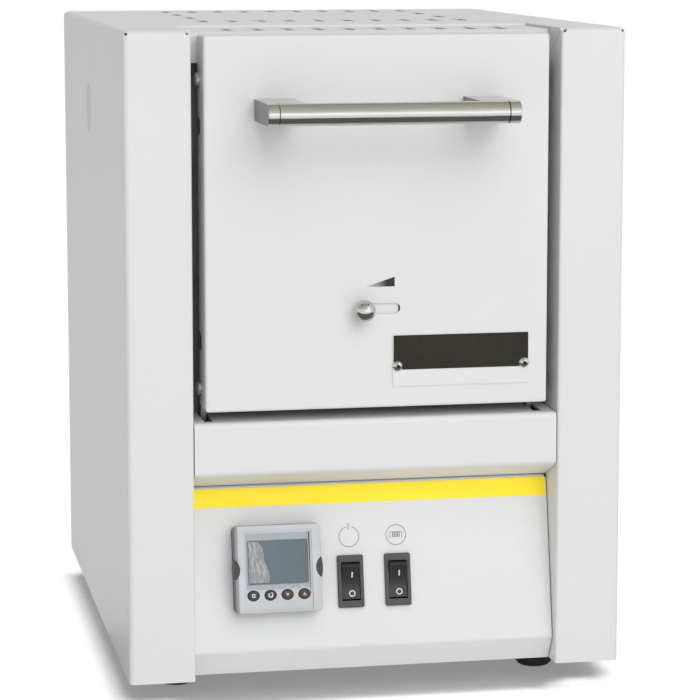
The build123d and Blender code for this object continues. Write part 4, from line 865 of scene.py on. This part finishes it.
def make_label(colours, prints, fascia, width, height, glass, glass_width, glass_height):
    """The label round the display: it ends at the middle of the buttons, which have light rims."""
    inward = fascia.inverted()
    pane_at = inward @ glass.translation
    button_at = [inward @ middle(name) for name in BUTTONS]

    def print_piece(name, shapes, inks, ink):
        """A print as thick as a number of layers of ink."""
        new_piece(name, layer(shapes, fascia, inks * prints.ink), ink, "casing")

    def pane(wider, corner):
        return box_outline(glass_width + wider, glass_height + wider, corner, pane_at)

    side = 0.0011
    foot = button_at[0].y + 0.0031
    top = height / 2 - side
    outline = box_outline(width - 2 * side, top - foot, 0.0004, (0, (top + foot) / 2))
    label = screen_ink("label_ink", colours.label)
    print_piece("controller_label", [[outline, pane(0.0004, 0.0006)]], 1, label)
    line = 0.0005
    dark = screen_ink("window_line_ink", toned(colours.label, 0.62))
    print_piece("window_line", [[pane(2 * line, 0.0008), pane(0.0001, 0.0006)]], 1.6, dark)
    # Painted shadow: a thin dark print, tapering downward, stands for the shade in the gap along the fascia's
    # right edge.
    edge_shadow_width = 0.0007
    edge_shadow_foot = button_at[0].y
    right = width / 2 - side
    edge_shadow_shape = [(right - 0.3 * edge_shadow_width, edge_shadow_foot), (right, edge_shadow_foot), (right, top), (right - edge_shadow_width, top)]
    shadow = screen_ink("fascia_edge_painted_shadow_ink", (0.02, 0.02, 0.023))
    print_piece("fascia_edge_painted_shadow", [[edge_shadow_shape]], 2, shadow)
    wide, tall, rim = 0.0036, 0.00315, 0.00045
    pale = screen_ink("rim_ink", (0.66, 0.67, 0.70))
    rims = [[round_outline(wide + rim, tall + rim, at), round_outline(wide, tall, at)] for at in button_at]
    print_piece("button_rims", rims, 1.4, pale)
    bracket = (
        (0.0022, 0.00472), (0.0022, 0.0045), (0.0046, 0.0043),
        (0.0050, 0.0037), (0.0050, 0.00395), (0.0046, 0.00454),
    )
    brackets = []
    for left_one, right_one in (button_at[:2], button_at[2:]):
        between = (left_one.x + right_one.x) / 2
        for end in (-1, 1):
            brackets.append([[(between + end * x, left_one.y + y) for x, y in bracket]])
    print_piece("button_brackets", brackets, 1.6, pale)


def make_film(colours, glass, width, height):
    """The loose corner of a protective film on the left of the display, with raised creases."""
    across, down = 16, 34
    rise, wave, skin = 0.00012, 0.0001, 0.00003
    left, top, tall = 0.012, 0.015, 0.96
    narrow, spread, flare, ripple = 0.17, 0.15, 1.6, 0.02
    made = bmesh.new()
    front = []
    for j in range(down + 1):
        v = j / down
        right = narrow + spread * min(1, v * flare) + ripple * math.sin(9 * v)
        for i in range(across + 1):
            u = i / across
            x = (-0.5 + left + u * right) * width
            y = (0.5 - top - tall * v) * height
            drift = 2 * noise.noise(Vector((u * 3, v * 5, 0)))
            fold = abs(math.sin(6 * math.pi * (u * 0.8 + v * 0.35) + drift))
            front.append(made.verts.new((x, y, rise + wave * (1 - fold) * (0.3 + u))))
    back = [made.verts.new((*corner.co.xy, corner.co.z - skin)) for corner in front]
    row = across + 1
    last = down * row
    for start in (j * row + i for j in range(down) for i in range(across)):
        cell = (start + row, start + row + 1, start + 1, start)
        made.faces.new([front[k] for k in cell])
        made.faces.new([back[k] for k in reversed(cell)])
    rim = [*range(across), *range(across, last, row), *range(last + across, last, -1), *range(last, 0, -row)]
    for here, after in zip(rim, rim[1:] + rim[:1]):
        made.faces.new((front[here], front[after], back[after], back[here]))
    bmesh.ops.recalc_face_normals(made, faces=made.faces)
    bmesh.ops.transform(made, matrix=glass, verts=made.verts)
    new_piece("display_film", made, creased_film("display_film_skin", colours.film), "casing")


def mark_buttons(colours, prints):
    """A page, a turning arrow and two arrowheads on the buttons."""
    white = screen_ink("mark_ink", colours.white_ink)
    orange = screen_ink("arrow_ink", colours.arrow_ink)
    wide, tall, border = 0.0018, 0.0021, 0.0004
    sheet = [box_outline(wide, tall, 0.0003), box_outline(wide - 2 * border, tall - 2 * border, 0.0001)]
    lines = [[box_outline(0.0007, 0.0002, centre=(0, y))] for y in (0.0003, -0.0003)]
    arrowhead = [(0.0002, 0.0014), (0.0013, 0.0014), (0.0009, 0.0003)]
    turn = [[arc_outline(0.00105, 0.00060, 120, 415, 30)], [arrowhead]]
    half, flat, tip = 0.00105, 0.0008, 0.0010
    down = [[[(-half, flat), (0, -tip), (half, flat)]]]
    up = [[[(-half, -flat), (half, -flat), (0, tip)]]]
    for name, shapes, ink in zip(BUTTONS, ([sheet, *lines], turn, down, up), (white, white, orange, orange)):
        marks = layer(shapes, flat_face(name, PANEL_FRONT)[0], prints.ink)
        new_piece(name.replace("button", "mark"), marks, ink, name)


class FURNACE_OT_switches(bpy.types.Operator):
    """Finish the two rocker switches and print the bar and the ring on each rocker"""

    bl_idname = "furnace.switches"
    bl_label = "Rocker switches"

    def execute(self, context):
        colours = context.scene.furnace_colours
        prints = context.scene.furnace_prints
        moulded_plastic("switch_frame_moulding", toned(colours.switch, 2.6)).on("rocker_housings")
        moulded_plastic("rocker_moulding", toned(colours.switch, 1.15), (0.28, 0.42)).on(*ROCKERS)
        plain_brass("blade_brass").on("switch_blades", "inlet_contacts")
        white = screen_ink("rocker_ink", colours.white_ink)
        panel = flat_face("control_panel", PANEL_FRONT)[0]
        aside = 0.0006
        bar = [box_outline(prints.mark_line, prints.mark_bar, 0.0001, (0, prints.mark_bar_rise))]
        ring = ring_shape(prints.mark_ring, 0.85 * prints.mark_line, (0, -prints.mark_ring_drop), 40)
        for name in ROCKERS:
            place = shifted(beside(panel, middle(name)), aside, 0)
            marks = layer([bar, ring], place, prints.ink, surface_of(name))
            new_piece(name.replace("rocker", "rocker_marks"), marks, white, name)
        return {"FINISHED"}


class FURNACE_OT_chamber(bpy.types.Operator):
    """Finish the fibre-lined chamber and wind the heating spirals in their quartz tubes"""

    bl_idname = "furnace.chamber"
    bl_label = "Chamber"

    def execute(self, context):
        colours = context.scene.furnace_colours
        heater = context.scene.furnace_heater
        fibre = fibre_board("chamber_fibre", colours.fibre)
        fibre.on("insulation_floor", "insulation_roof", "insulation_sides", "insulation_rear")
        fired_ceramic("chamber_ceramic").on("hearth_plate", "heater_terminals", "thermocouple")
        quartz_glass("tube_quartz").on("quartz_tubes")
        # Painted light: the front plate uses a copy of the heat-darkened steel three times as light, standing
        # for light that reaches it in the gap beside the door.
        darkened_steel("front_plate_steel_painted_light", 3.0).on("chamber_front_plate")
        brushed_steel("exhaust_steel", (0.58, 0.57, 0.55), "Y").on("exhaust_tube")
        spirals = bmesh.new()
        for rod, tube in zip(loose_boxes("heating_coils"), loose_boxes("quartz_tubes")):
            wire(spiral_points(heater, rod, tube), heater.wire / 2, 5, spirals)
        bmesh.ops.recalc_face_normals(spirals, faces=spirals.faces)
        oxide = oxidised_wire("spiral_oxide")
        piece = new_piece("heating_spirals", spirals, oxide, "casing", math.radians(60))
        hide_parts("heating_coils")
        return {"FINISHED"}


def spiral_points(heater, rod, tube):
    """One unbroken wire: in along a doubled lead, round the spiral to its front, back through it and out."""
    low, high = rod
    axis = (low + high) / 2
    radius = (high.x - low.x - heater.wire) / 2
    front = low.y + heater.wire / 2
    rear = tube[1].y - heater.tube_gap
    steps = 12
    total = heater.turns * steps
    strand = 0.55 * heater.wire
    twists = round((high.y - rear) / heater.twist)
    twist_steps = 8 * twists
    back = 6

    def at(distance, reach, turn):
        return Vector((axis.x + reach * math.cos(turn), distance, axis.z + reach * math.sin(turn)))

    def lead(share, turn):
        """A point on one strand of the doubled lead, from its outer end inward."""
        return at(high.y + (rear - high.y) * share, strand, turn + math.tau * twists * share)

    points = [lead(i / twist_steps, 0) for i in range(twist_steps + 1)]
    for i in range(total + 1):
        grow = min(1, 4 * i / steps, 4 * (total - i) / steps + strand / radius)
        reach = strand + (radius - strand) * grow
        points.append(at(rear + (front - rear) * i / total, reach, math.tau * i / steps))
    points += [at(front + (rear - front) * i / (back + 1), 0.1 * strand, 0) for i in range(1, back + 1)]
    return points + [lead(1 - i / twist_steps, math.pi) for i in range(twist_steps + 1)]


class FURNACE_OT_electrics(bpy.types.Operator):
    """Finish the power inlet, fuse, relay, terminals and wires"""

    bl_idname = "furnace.electrics"
    bl_label = "Electrics"

    def execute(self, context):
        colours = context.scene.furnace_colours
        moulded_plastic("socket_moulding", colours.switch).on("power_inlet", "fuse_holder", "reed_switch")
        moulded_plastic("relay_moulding", (0.33, 0.34, 0.35)).on("solid_state_relay", "terminal_block")
        zinc_plate("inlet_screw_zinc").on("inlet_screws")
        silicone_wire("loom_silicone", (0.30, 0.05, 0.035)).on("wiring_loom")
        return {"FINISHED"}


class FURNACE_OT_stage(bpy.types.Operator):
    """Set the floor, the surroundings, the cards, the lamps and the camera"""

    bl_idname = "furnace.stage"
    bl_label = "Stage"

    def execute(self, context):
        stage = context.scene.furnace_stage
        make_floor(stage)
        make_surroundings(context.scene, stage)
        window = (stage.window,) * 3
        upright = math.pi / 2
        make_card("ceiling_card", (4.9, 5.0), (-1.55, -1.3, 1.9), stage.ceiling, stage.ceiling_end)
        make_card("table_card", (3.0, 0.72), (0, -0.34, 0.002), stage.table, stage.table)
        make_card("low_window", (2.4, 1.1), (0.4, -3.6, 0.75), window, window, upright)
        make_card("tall_window", (2.5, 3.4), (2.15, -2.6, 1.9), window, window, upright)
        make_lamp("key_lamp", stage.key_place, stage.aim, stage.key_size, stage.key)
        make_lamp("fill_lamp", stage.fill_place, stage.aim, stage.fill_size, stage.fill)
        make_camera(context.scene, stage)
        context.scene.view_settings.view_transform = "Standard"
        return {"FINISHED"}


def stage_sheet(name, size, place):
    """A level sheet that isn't part of the furnace."""
    shape = bmesh.new()
    bmesh.ops.create_grid(shape, x_segments=8, y_segments=8, size=0.5)
    bmesh.ops.scale(shape, vec=(*size, 1), verts=shape.verts)
    mesh = bpy.data.meshes.new(name)
    shape.to_mesh(mesh)
    shape.free()
    sheet = put(name, mesh, place)
    return sheet


def make_floor(stage):
    """A wide pale floor. It is seen as white, apart from a painted shadow close to the furnace's front and
    left, which an occlusion test leaning back and right draws into its glow.
    """
    floor = stage_sheet("floor", (60, 60), (0, 0, 0))
    white = {"Emission_Color": (1, 1, 1, 1), "Specular_IOR_Level": 0.0}
    finish = Finish("floor_white", (0.86, 0.86, 0.86), 0.9, **white)
    seen = finish.seen_directly()
    finish.vary(finish.grain(3), 0.99, 1.01)
    finish.cover(seen, (0.35, 0.35, 0.35))
    # Painted shadow: the glow that the camera sees is dimmed where the leaning occlusion test meets the
    # furnace.
    shadow_lean = finish.add("CombineXYZ", X=-0.10, Y=0.60, Z=0.79).outputs[0]
    painted_shadow_occlusion = finish.add("AmbientOcclusion", {"samples": 40}, Distance=stage.contact, Normal=shadow_lean)
    shade = finish.between(painted_shadow_occlusion.outputs["AO"], 0.24, 0.88, 0.80, 0.97)
    glow = finish.between(seen, stage.bounce, 1)
    finish.feed(glow.node.inputs["To Max"], shade)
    finish.feed(finish.sockets["Emission Strength"], glow)
    floor.data.materials.append(finish.material)


def make_card(name, size, place, near, far, lean=0.0):
    """A card that only reflections show, as a studio hangs one beside bright metal. It runs from one shade at
    the furnace to another at its far end."""
    card = stage_sheet(name, size, place)
    card.rotation_euler.x = lean
    for kind in ("camera", "diffuse", "shadow", "transmission", "volume_scatter"):
        setattr(card, "visible_" + kind, False)
    finish = Finish(name + "_cloth", (0, 0, 0), 1.0, Specular_IOR_Level=0.0, Emission_Strength=1)
    share = finish.between(finish.along("Y"), 0, 1, size[1] / 2, -size[1] / 2)
    finish.feed(finish.sockets["Emission Color"], finish.blend(share, tuple(near), tuple(far)))
    finish.material.cycles.emission_sampling = "NONE"
    card.data.materials.append(finish.material)


def make_surroundings(scene, stage):
    """A white surround, softer where it only lights the furnace."""
    scene.world = bpy.data.worlds.new("surroundings")
    scene.world.use_nodes = True
    world = Tree(scene.world.node_tree)
    background = world.tree.nodes["Background"].inputs
    background["Color"].default_value = (1, 1, 1, 1)
    world.feed(background["Strength"], world.between(world.seen_directly(), stage.ambient, 1))


def make_lamp(name, place, target, size, power):
    """A square soft lamp, aimed at a point."""
    lamp = bpy.data.lights.new(name, "AREA")
    lamp.size = size
    lamp.energy = power
    holder = put(name, lamp, place)
    holder.rotation_euler = (target - place).to_track_quat("-Z", "Y").to_euler()
    holder.visible_glossy = False


def make_camera(scene, stage):
    """The camera that took the view: a long lens, slightly above and to the left."""
    camera = bpy.data.cameras.new("camera")
    camera.lens = stage.lens
    camera.sensor_width = 36
    camera.shift_y = stage.camera_shift
    holder = put("camera", camera, stage.camera_place)
    holder.rotation_euler = (math.pi / 2 - stage.camera_tilt, 0, -stage.camera_turn)
    scene.camera = holder


OPERATORS = (
    FURNACE_OT_casing, FURNACE_OT_door, FURNACE_OT_handle, FURNACE_OT_air_slider, FURNACE_OT_panel,
    FURNACE_OT_controller, FURNACE_OT_switches, FURNACE_OT_chamber, FURNACE_OT_electrics, FURNACE_OT_stage,
)
GROUPS = {
    "furnace_colours": FurnaceColours,
    "furnace_prints": FurnacePrints,
    "furnace_heater": FurnaceHeater,
    "furnace_stage": FurnaceStage,
}


class FURNACE_PT_sidebar(bpy.types.Panel):
    """The furnace's groups of pieces, and the sizes and colours that they use"""

    bl_idname = "FURNACE_PT_sidebar"
    bl_label = "Preheating furnace"
    bl_space_type = "VIEW_3D"
    bl_region_type = "UI"
    bl_category = "Furnace"

    def draw(self, context):
        column = self.layout.column(align=True)
        for operator in OPERATORS:
            column.operator(operator.bl_idname)
        for name, group in GROUPS.items():
            box = self.layout.box()
            for entry in group.__annotations__:
                box.prop(getattr(context.scene, name), entry)


CLASSES = (*GROUPS.values(), *OPERATORS, FURNACE_PT_sidebar)


def register():
    for kind in CLASSES:
        bpy.utils.register_class(kind)
    for name, group in GROUPS.items():
        setattr(bpy.types.Scene, name, PointerProperty(type=group))


def unregister():
    for name in GROUPS:
        delattr(bpy.types.Scene, name)
    for kind in reversed(CLASSES):
        bpy.utils.unregister_class(kind)


def main():
    """Builds the whole scene."""
    register()
    for operator in OPERATORS:
        group, name = operator.bl_idname.split(".")
        getattr(getattr(bpy.ops, group), name)()


if __name__ == "__main__":
    main()
